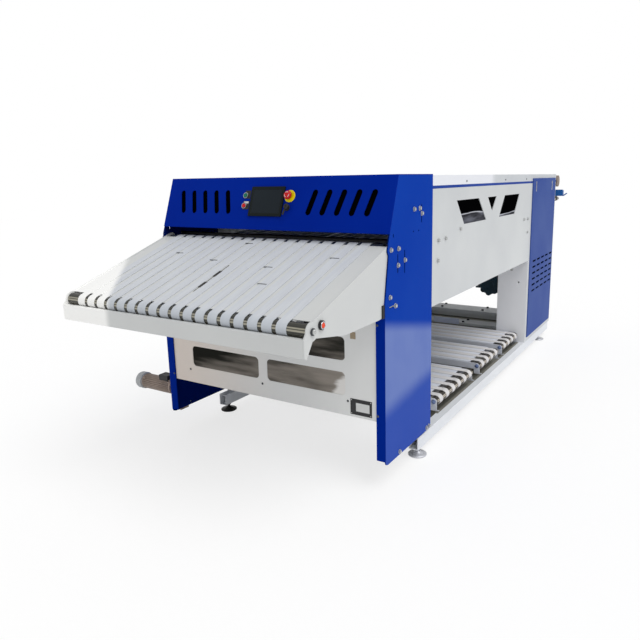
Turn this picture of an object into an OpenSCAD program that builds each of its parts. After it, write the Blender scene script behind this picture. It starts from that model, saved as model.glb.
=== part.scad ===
// Laundry folding machine with a belted infeed table and three cross conveyors.
// The machine stands on the floor at z = 0, with +Y from its feeding end to its rear.
// Inside the modules, x is measured from the middle of the machine and y from the
// face of the front flanges; in_frame() then puts the middle of the whole box at 0, 0.

/* [Body] */
// Width over the blue side panels
width = 1274; // [1100:2:1500]
// Height of the front housing
height = 1330; // [1290:1:1400]
// Depth of the blue side panels
panel_depth = 470; // [440:1:560]
// Thickness of the blue side panels
panel_t = 6; // [4:0.5:8]
// Height of the side panels' lower edge
panel_z = 120; // [112:1:140]
// Width of the folded flange at the front edge of a side panel
flange_w = 44; // [30:1:60]
// Thickness of folded sheet covers
sheet_t = 3; // [2:0.5:4]
// Thickness of the white body sides
side_t = 4; // [3:0.5:6]
// Height of the white body sides
body_h = 548; // [500:1:560]
// Length of a side window's lower edge
window_len = 348; // [250:1:350]
// Height of the side windows
window_h = 125; // [90:1:130]
// Where the middle of the side windows lies behind the flange face
window_y = 1363; // [1340:1:1380]
// Height of the blue edge seal on the white body
seal_h = 14; // [10:1:20]
// Height of the top covers' side lips
cover_h = 47; // [36:1:50]
// Where the front top cover ends and the next one starts
cover_split_y = 1365; // [1200:1:1600]

/* [Control panel] */
// Height of the sloping control panel
fascia_h = 232; // [225:1:250]
// How far the control panel's lower edge lies behind the flange face
fascia_y = 44; // [35:1:60]
// How far its upper edge lies behind the flange face
fascia_top_y = 126; // [110:1:150]
// Number of vent slots on each side
slot_count = 5; // [2:1:5]
// Distance between vent slots
slot_pitch = 73; // [50:1:80]
// Width of a vent slot
slot_w = 28; // [12:1:30]
// Length of a vent slot
slot_len = 118; // [80:1:130]
// Width of the touch screen's bezel
screen_w = 188; // [150:1:220]
// Height of the touch screen's bezel
screen_h = 138; // [110:1:150]
// Hole that a push button's barrel goes through
button_hole_r = 11.3; // [11.2:0.1:11.6]
// Radius of a push button's collar
collar_r = 14.5; // [13:0.5:16]
// Radius of a push button
button_r = 9.5; // [8:0.1:9.6]
// Travel of a push button
button_travel = 4; // [2:0.5:5]
// Radius of the emergency stop's yellow disc
stop_disc_r = 28; // [24:0.5:31]
// Radius of the emergency stop's red head
stop_head_r = 20; // [16:0.5:22]

/* [Infeed table] */
// How far the nose roller lies in front of the flange face
feed_reach = 505; // [420:1:600]
// How far the nose roller's axis lies below the control panel
feed_drop = 273; // [265:1:300]
// Slope of the infeed table in degrees
feed_tilt = 19.5; // [18.5:0.1:20]
// Distance from the nose roller to the infeed drive roller
feed_len = 605; // [590:1:612]
// Radius of the infeed rollers
feed_roller_r = 27; // [24:0.5:28]
// Number of infeed belts
belt_count = 18; // [4:2:18]
// Width of an infeed belt
belt_w = 50; // [30:1:55]
// Distance between infeed belts
belt_pitch = 62; // [58:0.5:63]
// Thickness of every belt
belt_t = 2; // [1.5:0.1:3]
// Height of the nose bumper's face
bumper_h = 69; // [54:1:74]
// Height of the lower front panel
front_panel_h = 444; // [420:1:460]

/* [Base] */
// Height of the base rails' lower face
rail_z = 44; // [36:1:48]
// Height of a base rail
rail_h = 62; // [50:1:66]
// Width of a base rail
rail_w = 48; // [40:1:60]
// Wall of a base rail
rail_wall = 4; // [3:0.5:6]
// How far the rails start behind the flange face
rail_y = 345; // [320:1:360]
// Radius of a levelling foot's pad
foot_r = 45; // [35:1:55]
// Radius of a levelling foot's screw
foot_screw_r = 8; // [6:0.5:10]
// How far the front feet lie behind the flange face
foot_front_y = 392; // [385:1:410]

/* [Cross conveyors] */
// Number of belts on each cross conveyor, front to rear
cross_belts = [6, 4, 4];
// Where each cross conveyor starts behind the flange face
cross_y = [700, 1385, 1855];
// Distance between cross belts
cross_pitch = 90; // [70:1:90]
// Width of a cross belt
cross_belt_w = 56; // [40:1:62]
// Radius of the cross rollers
cross_r = 24; // [20:0.5:26]
// Height of the cross rollers' axes
cross_z = 155; // [150:1:165]
// Distance from the middle to the right hand cross rollers
cross_right_x = 556; // [520:1:560]
// Distance from the middle to the left hand cross rollers
cross_left_x = 690; // [680:1:760]
// Length of the cross drive's motor
cross_motor_len = 263; // [180:1:280]

/* [Rear housing] */
// Where the rear housing starts behind the flange face
housing_y = 2235; // [2230:1:2300]
// Length of the rear housing
housing_len = 780; // [700:1:900]
// Width of each side box of the rear housing
housing_w = 211; // [180:1:240]
// Border left round each door
door_border = 37; // [25:1:45]
// Height of the doors' lower edge
door_z = 138; // [132:1:160]
// How far the doors reach up over the edge seals
door_lap = 33; // [25:1:38]
// Vent slots in a door, across
louvre_cols = 5; // [2:1:5]
// Vent slots in a door, down
louvre_rows = 6; // [2:1:6]
// Radius of the roller behind the rear cover
rear_roller_r = 45; // [30:1:48]

/* [Transport] */
// Radius of the transport rollers inside the body
roller_r = 27; // [22:0.5:28]
// How far the transport's front axis lies below the infeed drive roller
transport_step = 49; // [45:1:60]
// How far the transport's rear axis lies below the body's upper edge
transport_drop = 124; // [90:1:150]
// Radius of the nip rollers
nip_r = 26; // [20:0.5:28]
// Radius of the drive sprockets
sprocket_r = 40; // [30:1:44]

/* [Fits] */
// Gap left between a loose piece and its seat
seat_gap = 0.3; // [0.2:0.05:0.4]
// Running clearance of a shaft in its bore
run_gap = 0.05; // [0.02:0.01:0.08]

/* [Hidden] */
$fn = 48;
half = width / 2;
inner = half - panel_t;
rail_top = rail_z + rail_h;
fascia_z = height - fascia_h;
nose_z = fascia_z - feed_drop;
body_top = height - 5 - cover_h - seal_h;
body_z = body_top - body_h;
door_top = body_top + door_lap;
rail_x = inner - 3;
rail_len = housing_y + housing_len - 30 - rail_y;
lean = atan((fascia_top_y - fascia_y) / fascia_h);
plate_t = 6;
plate_x = inner - plate_t;
feed_loop_r = feed_roller_r + seat_gap;
deck_t = 2.5;
deck_front = 19;
deck_rear = 16;
nose_y = -feed_reach;
drive_y = nose_y + feed_len * cos(feed_tilt);
drive_z = nose_z + feed_len * sin(feed_tilt);
plate_foot_z = nose_z - 60;
plate_rear_y = drive_y + 70;
flange_top = plate_foot_z;
flange_screws = [flange_top - 426, flange_top - 34];
front_top = flange_top - 10;
bumper_y = nose_y - 48;
bumper_z = nose_z - 18;
housing_end = housing_y + housing_len;
housing_x = inner - housing_w;
door_w = housing_len - 2 * door_border;
door_y = housing_y + door_border;
cross_top = cross_z + cross_r + seat_gap + belt_t;
cross_gear_y = 88;
worm_offset = 65;
cross_gear_x = 16;
motor_end = cross_left_x + cross_gear_x + cross_motor_len;
transport_y = drive_y + 114;
transport_z = drive_z - transport_step;
transport_rear_z = body_top - transport_drop;
transport_rear_y = housing_y - 55;
transport_len = norm([transport_rear_y - transport_y, transport_rear_z - transport_z]);
transport_tilt = atan((transport_rear_z - transport_z) / (transport_rear_y - transport_y));
chain_x = inner - 26;
motor_x = housing_x - 92;
motor_y = housing_y + 365;
motor_z = body_z - 212;
nip_y = 1420;
nip_z = transport_z - 108;
valve_x = inner - 19;
valve_y = housing_end + 125;
valve_z = body_top - 139;
rear_roller_y = housing_end + 75;
rear_roller_z = height - 60;
lever_len = 88;
reach_right = valve_x + lever_len;
reach_rear = valve_y + 45;
screen_x = -6;
start_x = screen_x - screen_w / 2 - collar_r - 20;
stop_x = screen_x + screen_w / 2 + stop_disc_r + 2;
pulley_x = inner - 26;
frame_x = (motor_end - reach_right) / 2;
frame_y = -(bumper_y + reach_rear) / 2;

// Hexagon bolts on each side panel: distance behind the flange face and below the top
upper_bolts = [[270, 146], [327, 145], [349, 168], [51, 297], [119, 298], [114, 366],
  [179, 352], [41, 488], [89, 531]];
// Bolts near the lower edge of each side panel: distance behind the flange face
lower_bolts = [129, 421, 448];
// Slots beside the adjusting bolts: distance behind, distance below the top, length and turn
panel_slots = [[349, 168, 74, 0], [114, 359, 72, 0], [179, 358, 92, 0], [72, 530, 62, 90],
  [74, 242, 9, 0]];
// Small plain holes in each side panel: distance behind the flange face and below the top
panel_holes = [[265, 240], [319, 240]];
// Hexagon bolts on each white body side: distance behind the flange face and below the top
body_bolts = [[555, 307], [644, 305], [551, 402], [846, 275], [2073, 309], [2170, 310],
  [2175, 404]];
// Screws in the side lips of the top covers
cover_screws = [926, 1612, 2101];

module in_frame() translate([frame_x, frame_y, 0]) children();
module block(x, y, z) translate([x[0], y[0], z[0]]) cube([x[1] - x[0], y[1] - y[0], z[1] - z[0]]);
module both_sides() {
  children();
  mirror([1, 0, 0]) children();
}
module rod_x(r, x, y, z) translate([x[0], y, z]) rotate([0, 90, 0]) cylinder(r = r, h = x[1] - x[0]);
module rod_y(r, x, y, z) translate([x, y[0], z]) rotate([-90, 0, 0]) cylinder(r = r, h = y[1] - y[0]);
module rod_z(r, x, y, z) translate([x, y, z[0]]) cylinder(r = r, h = z[1] - z[0]);
// Outlines drawn in y and z, given a thickness along x
module sheet_yz(x) translate([x[0], 0, 0]) rotate([90, 0, 90]) linear_extrude(x[1] - x[0]) children();
// Outlines drawn in x and z, given a thickness along y
module sheet_xz(y) translate([0, y[1], 0]) rotate([90, 0, 0]) linear_extrude(y[1] - y[0]) children();
// Flat outline with two round ends, from the origin along its first axis
module capsule(len, r) {
  circle(r);
  translate([len, 0]) circle(r);
  translate([0, -r]) square([len, 2 * r]);
}
module belt_outline(len, r, t) {
  difference() {
    capsule(len, r + t);
    capsule(len, r);
  }
}
module rounded_square(w, h, r) {
  translate([r, 0]) square([w - 2 * r, h]);
  translate([0, r]) square([w, h - 2 * r]);
  for (x = [r, w - r], y = [r, h - r]) translate([x, y]) circle(r);
}

// Places its children on the infeed table: y runs up the slope from the nose roller
module on_feed() translate([0, nose_y, nose_z]) rotate([feed_tilt, 0, 0]) children();
// Places its children on the control panel: y runs up the slope and z stands out of it
module on_fascia(x, z) {
  translate([x, fascia_y + (z - fascia_z) * tan(lean), z]) rotate([90 - lean, 0, 0])
    translate([0, 0, sheet_t]) children();
}
// Places its children on the transport conveyor's line
module on_transport() translate([0, transport_y, transport_z]) rotate([transport_tilt, 0, 0]) children();

// Base

module base_rails() {
  color("gainsboro") in_frame() both_sides() difference() {
    block([rail_x - rail_w, rail_x], [rail_y, rail_y + rail_len], [rail_z, rail_top]);
    block([rail_x - rail_w + rail_wall, rail_x - rail_wall],
      [rail_y - 1, rail_y + rail_len + 1], [rail_z + rail_wall, rail_top - rail_wall]);
    for (y = foot_rows()) rod_z(foot_screw_r + seat_gap, rail_x - rail_w / 2, y, [0, rail_top - 5]);
  }
}
function foot_rows() = [foot_front_y, housing_end - 250];

module base_cross_members() {
  color("gainsboro") in_frame() {
    for (y = cross_y)
      block([-rail_x + rail_w, rail_x - rail_w], [y - 50, y - 10], [rail_z, rail_z + 30]);
    for (y = [housing_y, housing_end - 50])
      block([-rail_x + rail_w, rail_x - rail_w], [y, y + 50], [rail_z, rail_top]);
    block([-housing_x + side_t, housing_x - side_t], [housing_y + 245, housing_y + 375],
      [rail_top + 14, rail_top + 34]);
    block([-housing_x + side_t, housing_x - side_t], [housing_y + 455, housing_y + 645],
      [rail_top + 64, rail_top + 94]);
  }
}

module levelling_feet() {
  color("silver") in_frame() both_sides() for (y = foot_rows())
    translate([rail_x - rail_w / 2, y, 0]) {
      cylinder(r = foot_r, h = 8);
      translate([0, 0, 8]) cylinder(r1 = foot_r - 4, r2 = foot_screw_r + 5, h = 11, $fn = 48);
      cylinder(r = foot_screw_r, h = rail_z + 20);
      translate([0, 0, rail_z - seat_gap - 10]) cylinder(r = foot_screw_r + 6, h = 10, $fn = 6);
    }
}

module front_posts() {
  color("gainsboro") in_frame() both_sides() {
    block([inner - 5, inner], [panel_depth - 54, panel_depth - 4], [rail_top, height - sheet_t]);
    block([inner - 50, inner - 5], [panel_depth - 9, panel_depth - 4], [rail_top, height - sheet_t]);
  }
}

// Front housing

module panel_outline() {
  polygon([[0, panel_z + 18], [5, panel_z + 5], [18, panel_z], [panel_depth - 14, panel_z],
    [panel_depth, panel_z + 12], [panel_depth, height - sheet_t],
    [fascia_top_y + 1, height - sheet_t], [fascia_top_y - sheet_t * tan(lean), height - sheet_t],
    [fascia_y - 38 * tan(lean), fascia_z - 38], [33, fascia_z - 88], [0, nose_z - 5]]);
  translate([51, height - 297]) circle(27);
}

module side_panel() {
  difference() {
    union() {
      sheet_yz([inner, half]) panel_outline();
      block([half - flange_w, inner], [0, panel_t], [panel_z + 18, flange_top]);
    }
    for (p = upper_bolts) rod_x(6.3, [inner - 1, half + 1], p[0], height - p[1]);
    for (y = lower_bolts) rod_x(6.3, [inner - 1, half + 1], y, panel_z + 15);
    for (p = panel_holes) rod_x(4, [inner - 1, half + 1], p[0], height - p[1]);
    for (z = flange_screws) rod_y(3.1, half - flange_w + 7, [-1, panel_t + 1], z);
    for (s = panel_slots)
      translate([0, s[0], height - s[1]]) rotate([s[3], 0, 0]) translate([0, 0, -s[2] / 2])
        sheet_yz([inner - 1, half + 1]) rotate(90) capsule(s[2], 3.5);
  }
}
module side_panel_right() {
  color("mediumblue") in_frame() side_panel();
}
module side_panel_left() {
  color("mediumblue") in_frame() mirror([1, 0, 0]) side_panel();
}

module hex_bolt(shank) {
  cylinder(r = 10.5, h = 1.6);
  translate([0, 0, 1.6]) cylinder(r = 9, h = 6.4, $fn = 6);
  translate([0, 0, -shank]) cylinder(r = 6, h = shank + 1);
}
module small_screw(shank) {
  cylinder(r1 = 5.5, r2 = 3.5, h = 2.5);
  translate([0, 0, -shank]) cylinder(r = 3, h = shank + 1);
}
module panel_bolts() {
  color("silver") in_frame() both_sides() {
    for (p = upper_bolts)
      translate([half, p[0], height - p[1]]) rotate([0, 90, 0]) hex_bolt(panel_t);
    for (y = lower_bolts) translate([half, y, panel_z + 15]) rotate([0, 90, 0]) hex_bolt(panel_t);
    for (p = body_bolts)
      translate([inner, p[0], height - p[1]]) rotate([0, 90, 0]) hex_bolt(side_t);
    for (y = cover_screws)
      translate([inner, y, body_top + seal_h + 16]) rotate([0, 90, 0]) small_screw(sheet_t);
    for (z = flange_screws)
      translate([half - flange_w + 7, 0, z]) rotate([90, 0, 0]) small_screw(panel_t);
    translate([housing_x + 96, housing_y, body_z - 71]) rotate([90, 0, 0]) hex_bolt(side_t);
  }
  color("silver") in_frame() for (x = pane_screws)
    translate([x, panel_t, window_z[0] - 22]) rotate([90, 0, 0]) small_screw(2);
}

module fascia_outline() {
  t = sheet_t / cos(lean);
  polygon([[fascia_y, fascia_z], [fascia_top_y, height], [fascia_top_y - t, height],
    [fascia_y - t, fascia_z]]);
}
module vent_slot(x) {
  on_fascia(x, fascia_z + 119) rotate(sign(x) * -14.5) translate([0, -slot_len / 2 + slot_w / 2, -20])
    linear_extrude(40) rotate(90) capsule(slot_len - slot_w, slot_w / 2);
}
button_spots = [[start_x, fascia_z + 148], [start_x, fascia_z + 102],
  [stop_x, fascia_z + 145], [stop_x - 5, fascia_z + 95]];
module control_fascia() {
  color("mediumblue") in_frame() difference() {
    union() {
      sheet_yz([-half, half]) fascia_outline();
      block([-inner, inner], [fascia_y - sheet_t, fascia_y + 26], [fascia_z - 2, fascia_z + 0.5]);
    }
    for (i = [0:slot_count - 1], side = [-1, 1]) vent_slot(side * (239 + i * slot_pitch));
    for (p = button_spots) on_fascia(p[0], p[1]) translate([0, 0, -20]) cylinder(r = button_hole_r, h = 30);
    on_fascia(screen_x, fascia_z + 121) translate([-screen_w / 2 + 6, -screen_h / 2 + 6, -20])
      cube([screen_w - 12, screen_h - 12, 40]);
  }
}

module front_top_cover() {
  color("mediumblue") in_frame() difference() {
    block([-half, half], [fascia_top_y, panel_depth], [height - 30, height]);
    block([-half + sheet_t, half - sheet_t], [fascia_top_y - 1, panel_depth - sheet_t],
      [height - 31, height - sheet_t]);
    block([-half - 1, half + 1], [fascia_top_y - 1, panel_depth - 1 - sheet_t],
      [height - 31, height - sheet_t]);
    block([-half - 1, -inner + 50], [panel_depth - sheet_t - 2, panel_depth + 1],
      [height - 31, height - sheet_t]);
    block([inner - 50, half + 1], [panel_depth - sheet_t - 2, panel_depth + 1],
      [height - 31, height - sheet_t]);
  }
}

module front_window(x, z) translate([x, z]) rounded_square(window_w, 104, 20);
window_w = 425;
window_x = [-462, 14];
window_z = [front_top - 355, front_top - 199];
// Small screws under the front windows: distance from the middle
pane_screws = [-485, -18, 451];
module lower_front_panel() {
  color("whitesmoke") in_frame() difference() {
    sheet_xz([panel_t, panel_t + 2]) difference() {
      translate([-half + 14, front_top - front_panel_h]) square([width - 28, front_panel_h]);
      for (x = window_x, z = window_z) front_window(x, z);
    }
    both_sides() for (z = flange_screws) rod_y(3.1, half - flange_w + 7, [0, 20], z);
    for (x = pane_screws) rod_y(3.1, x, [0, 20], window_z[0] - 22);
  }
}

window_low = body_top - 64 - window_h;
// Side windows from front to rear: one that leans forward, a triangle, one that leans back
module v_window(i) {
  translate([window_y, window_low]) {
    if (i == 0) polygon([[-225 - window_len, window_h], [-115 - window_len, 0], [-105, 0],
      [-105 - window_h * 1.05, window_h]]);
    if (i == 1) polygon([[-82, window_h], [0, window_h * 0.34], [82, window_h]]);
    if (i == 2) polygon([[137 + window_h * 0.87, window_h], [137, 0], [125 + window_len, 0],
      [230 + window_len, window_h]]);
  }
}
module window_panes() {
  color("lightcyan", 0.5) in_frame() {
    for (x = window_x, z = window_z)
      block([x - 12, x + window_w + 12], [panel_t + 2, panel_t + 5], [z - 12, z + 116]);
    both_sides() block([inner - side_t - 3, inner - side_t],
      [window_y - window_len - 265, window_y + window_len + 255], [window_low - 24, body_top - 42]);
  }
}

module blank_plates() {
  color("black") in_frame() {
    block([464, 569], [panel_t - 1.5, panel_t], [front_top - 432, front_top - 361]);
    block([468, 494], [panel_t - 1, panel_t], [front_top - 97, front_top - 67]);
    on_fascia(start_x, fascia_z + 168) translate([-15, -5, 0]) cube([30, 13, 1.5]);
    on_fascia(start_x, fascia_z + 122) translate([-11, -4, 0]) cube([22, 9, 1.5]);
  }
}

module touch_screen() {
  color("darkslategray") in_frame() on_fascia(screen_x, fascia_z + 121) {
    translate([-screen_w / 2, -screen_h / 2, 0]) linear_extrude(7) rounded_square(screen_w, screen_h, 5);
    translate([-screen_w / 2 + 6.5, -screen_h / 2 + 6.5, -38]) cube([screen_w - 13, screen_h - 13, 39]);
  }
}

module collar(ring_r, ring_h) {
  difference() {
    union() {
      cylinder(r = ring_r, h = ring_h);
      translate([0, 0, -24]) cylinder(r = button_hole_r - seat_gap, h = 25);
      translate([-16, -16, -58]) cube([32, 32, 34.5]);
    }
    translate([0, 0, -24]) cylinder(r = button_r + seat_gap, h = 40);
  }
}
module push_button(rise) {
  translate([0, 0, button_travel - 23]) cylinder(r = button_r, h = 23 - button_travel + rise);
}
side_button_y = nose_y + 51;
side_button_z = nose_z + 12;
module on_side_plate() translate([inner, side_button_y, side_button_z]) rotate([0, 90, 0]) children();
module switch_collars() {
  color("dimgray") in_frame() {
    for (p = [button_spots[0], button_spots[1], button_spots[3]]) on_fascia(p[0], p[1]) collar(collar_r, 4);
    on_fascia(button_spots[2][0], button_spots[2][1]) collar(stop_disc_r, 2);
    both_sides() on_side_plate() collar(collar_r, 4);
  }
}
module start_button() {
  color("seagreen") in_frame() on_fascia(button_spots[0][0], button_spots[0][1]) push_button(7);
}
module stop_button() {
  color("red") in_frame() on_fascia(button_spots[1][0], button_spots[1][1]) push_button(7);
}
module emergency_stop() {
  color("red") in_frame() on_fascia(button_spots[2][0], button_spots[2][1]) {
    push_button(12);
    translate([0, 0, 11]) cylinder(r1 = stop_head_r - 3, r2 = stop_head_r, h = 6);
    translate([0, 0, 17]) cylinder(r1 = stop_head_r, r2 = stop_head_r - 6, h = 9);
  }
}
module key_switch() {
  color("black") in_frame() on_fascia(button_spots[3][0], button_spots[3][1]) {
    push_button(6);
    translate([-1.25, -5, 5]) cube([2.5, 10, 12]);
    translate([1.25, 0, 24]) rotate([0, -90, 0]) cylinder(r = 13, h = 2.5);
  }
}
module side_button_right() {
  color("orangered") in_frame() on_side_plate() push_button(8);
}
module side_button_left() {
  color("orangered") in_frame() mirror([1, 0, 0]) on_side_plate() push_button(8);
}

// Infeed table

module infeed_plate_outline() {
  top = feed_roller_r + 3;
  polygon([[bumper_y + 12, bumper_z - bumper_h], [nose_y + 7, nose_z - 25],
    [nose_y + 208, plate_foot_z - 1], [-40, plate_foot_z - 1], [-20, plate_foot_z + 1],
    [-13, plate_foot_z + 8], [-18, plate_foot_z + 22], [-15, plate_foot_z + 29],
    [9, plate_foot_z + 42], [9, plate_foot_z + 65], [plate_rear_y, plate_foot_z + 65],
    [plate_rear_y, drive_z],
    [drive_y + 16, drive_z + 16 * tan(feed_tilt) + top / cos(feed_tilt)],
    [nose_y - top * sin(feed_tilt), nose_z + top * cos(feed_tilt)],
    [nose_y - 34, nose_z], [bumper_y, bumper_z], [bumper_y, bumper_z - bumper_h + 8]]);
  translate([nose_y, nose_z]) circle(feed_roller_r + 7);
}
module infeed_plate() {
  difference() {
    sheet_yz([plate_x, inner]) infeed_plate_outline();
    rod_x(10 + run_gap, [plate_x - 1, inner + 1], nose_y, nose_z);
    on_feed() rod_x(10 + run_gap, [plate_x - 1, inner + 1], feed_len, 0);
    on_side_plate() translate([0, 0, -10]) cylinder(r = button_hole_r, h = 20);
  }
}
module infeed_plate_right() {
  color("whitesmoke") in_frame() infeed_plate();
}
module infeed_plate_left() {
  color("whitesmoke") in_frame() mirror([1, 0, 0]) infeed_plate();
}

module nose_bumper() {
  low = bumper_z - bumper_h;
  color("whitesmoke") in_frame() sheet_yz([-plate_x, plate_x])
    polygon([[bumper_y, bumper_z], [bumper_y, low + 6], [bumper_y + 12, low],
      [nose_y - 3, nose_z - 39], [nose_y - 6, nose_z - 37], [bumper_y + 11, low + 4],
      [bumper_y + 3, low + 8], [bumper_y + 3, bumper_z - 3], [bumper_y + 19, bumper_z - 3],
      [bumper_y + 19, bumper_z]]);
}

module infeed_bed() {
  top = feed_roller_r;
  color("whitesmoke") in_frame() on_feed() difference() {
    union() {
      block([-plate_x, plate_x], [deck_front, feed_len - deck_rear], [top - deck_t, top]);
      both_sides() block([plate_x - deck_t, plate_x], [deck_front + 20, feed_len - deck_rear],
        [top - 14, top - deck_t]);
      for (y = [160, 420]) block([-plate_x, plate_x], [y, y + 30], [top - 30, top - deck_t]);
    }
    for (y = [156, 246]) translate([-1.5, y, 0]) rotate(90) linear_extrude(top + 1) capsule(41, 3.5);
    translate([-4, 118, 0]) rotate(90) linear_extrude(top + 1) capsule(226, 1.2);
  }
}

module infeed_belts() {
  color("white") in_frame() on_feed() for (i = [0:belt_count - 1]) {
    x = (i - (belt_count - 1) / 2) * belt_pitch;
    sheet_yz([x - belt_w / 2, x + belt_w / 2]) belt_outline(feed_len, feed_loop_r, belt_t);
  }
}

module nose_roller() {
  color("silver") in_frame() {
    rod_x(feed_roller_r, [-plate_x + 2, plate_x - 2], nose_y, nose_z);
    rod_x(10, [-inner - 1, inner + 1], nose_y, nose_z);
    both_sides() rod_x(12.5, [inner + 1, inner + 6], nose_y, nose_z);
  }
}
module infeed_drive_roller() {
  color("silver") in_frame() on_feed() {
    rod_x(feed_roller_r, [-transport_half, transport_half], feed_len, 0);
    rod_x(10, [-inner + 0.5, inner - 0.5], feed_len, 0);
    rod_x(pulley_r, [-pulley_x - 5, -pulley_x + 5], feed_len, 0);
  }
}
module entry_guide_bar() {
  color("dimgray") in_frame() {
    rod_x(8, [-inner, inner], drive_y + 85, drive_z + 30);
  }
}

// White body

module body_side() {
  difference() {
    sheet_yz([inner - side_t, inner]) difference() {
      translate([panel_depth - 4, body_z]) square([housing_y - panel_depth + 4, body_top - body_z]);
      for (i = [0:2]) v_window(i);
    }
    for (p = body_bolts) rod_x(6.3, [inner - side_t - 1, inner + 1], p[0], height - p[1]);
  }
}
module body_side_right() {
  color("whitesmoke") in_frame() body_side();
}
module body_side_left() {
  color("whitesmoke") in_frame() mirror([1, 0, 0]) body_side();
}
module edge_seals() {
  color("royalblue") in_frame() both_sides()
    block([inner - 16, inner], [panel_depth - 4, housing_end], [body_top, body_top + seal_h]);
}
module top_covers() {
  low = body_top + seal_h;
  color("white") in_frame() for (span = [[panel_depth, cover_split_y - 1],
      [cover_split_y + 1, housing_y - 1], [housing_y + 1, housing_end]]) difference() {
    block([-inner, inner], span, [low, low + cover_h]);
    block([-inner + sheet_t, inner - sheet_t], [span[0] - 1, span[1] + 1],
      [low - 1, low + cover_h - sheet_t]);
    for (y = cover_screws) rod_x(3.1, [-inner - 1, inner + 1], y, low + 16);
  }
}

// Rear housing

module housing_walls() {
  color("whitesmoke") in_frame() both_sides() {
    difference() {
      block([housing_x + seat_gap, inner], [housing_y, housing_y + side_t], [rail_top, body_z]);
      rod_y(6, housing_x + 151, [housing_y - 1, housing_y + 10], body_z - 161);
      rod_y(6.3, housing_x + 96, [housing_y - 1, housing_y + 10], body_z - 71);
    }
    difference() {
      block([housing_x - side_t, housing_x], [housing_y, housing_end], [rail_top, body_z]);
      rod_x(20, [housing_x - side_t - 1, housing_x + 1], motor_y, motor_z);
    }
    block([housing_x + seat_gap, inner], [housing_end - side_t, housing_end], [rail_top, body_z]);
  }
}
module door_surrounds() {
  x = [inner - side_t, inner];
  front_y = housing_y + side_t;
  open_y = [door_y + 14, housing_end - door_border - 14];
  color("whitesmoke") in_frame() both_sides() {
    block(x, [front_y, open_y[0]], [rail_top, body_z]);
    block(x, [housing_y, open_y[0]], [body_z + seat_gap, body_top]);
    block(x, [open_y[1], housing_end - side_t], [rail_top, body_top]);
    block(x, [open_y[0] + seat_gap, open_y[1] - seat_gap], [rail_top, door_z + 14]);
    block(x, [open_y[0] + seat_gap, open_y[1] - seat_gap], [body_top - 30, body_top]);
  }
}
module rear_cover() {
  color("whitesmoke") in_frame() {
    block([-inner, inner], [housing_end - side_t, housing_end], [body_z, body_top]);
  }
}
louvre_pitch_y = 129;
louvre_pitch_z = 44.4;
module door() {
  color("mediumblue") difference() {
    block([inner, half], [door_y, door_y + door_w], [door_z, door_top]);
    block([inner - 1, half - sheet_t], [door_y + 14, door_y + door_w - 14], [door_z + 14, door_top - 14]);
    for (col = [0:louvre_cols - 1], row = [0:louvre_rows - 1])
      translate([0, door_y + 83 + col * louvre_pitch_y, 697 - row * louvre_pitch_z])
        sheet_yz([inner - 1, half + 1]) capsule(81, 7);
    for (y = pull_rows()) translate([0, y, 0])
      sheet_yz([inner - 1, half + 1]) translate([-8, 1204]) rounded_square(16, 72, 7);
  }
}
function pull_rows() = [door_y + 90, door_y + door_w - 120];
module door_pull() {
  color("silver") for (y = pull_rows()) translate([0, y, 0]) difference() {
    sheet_yz([half - sheet_t - 2, half + 1]) translate([-8 + seat_gap, 1204 + seat_gap])
      rounded_square(16 - 2 * seat_gap, 72 - 2 * seat_gap, 6.7);
    sheet_yz([half - sheet_t, half + 2]) translate([-5, 1207]) rounded_square(10, 66, 4.5);
  }
}
module door_right() {
  in_frame() {
    door();
    door_pull();
  }
}
module door_left() {
  in_frame() mirror([1, 0, 0]) {
    door();
    door_pull();
  }
}

module rear_roller() {
  color("rosybrown") in_frame() {
    rod_x(rear_roller_r, [-inner + 115, inner - 115], rear_roller_y, rear_roller_z);
    rod_x(10, [-inner + 80, inner - 80], rear_roller_y, rear_roller_z);
    both_sides() rod_x(rear_roller_r, [inner - 85, half - 2], rear_roller_y, rear_roller_z);
  }
}

module air_valve() {
  color("silver") in_frame() difference() {
    union() {
      rod_y(16, valve_x, [housing_end, housing_end + 8], valve_z);
      rod_y(11, valve_x, [housing_end, reach_rear - 20], valve_z);
      rod_y(17, valve_x, [valve_y - 24, valve_y + 24], valve_z);
      translate([valve_x, reach_rear - 30, valve_z]) rotate([-90, 0, 0]) cylinder(r = 16, h = 30, $fn = 6);
      rod_z(9, valve_x, valve_y, [valve_z, valve_z + 22]);
    }
    rod_y(7, valve_x, [valve_y + 30, reach_rear + 1], valve_z);
    rod_z(5 + run_gap, valve_x, valve_y, [valve_z + 8, valve_z + 30]);
  }
}
module air_valve_lever() {
  color("steelblue") in_frame() {
    rod_z(5, valve_x, valve_y, [valve_z + 8.5, valve_z + 28]);
    translate([valve_x, 0, valve_z]) {
      sheet_xz([valve_y - 20, valve_y + 20]) polygon([[-22, 28], [-17, 22 + seat_gap], [50, 22 + seat_gap],
        [56, 28], [56, 66], [48, 74], [-14, 74], [-22, 66]]);
      sheet_xz([valve_y - 7, valve_y + 7]) polygon([[48, 22 + seat_gap], [62, 22 + seat_gap],
        [lever_len - 2, 40], [lever_len, 46], [lever_len - 8, 46], [58, 30], [48, 30]]);
    }
  }
}

// Cross conveyors

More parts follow.
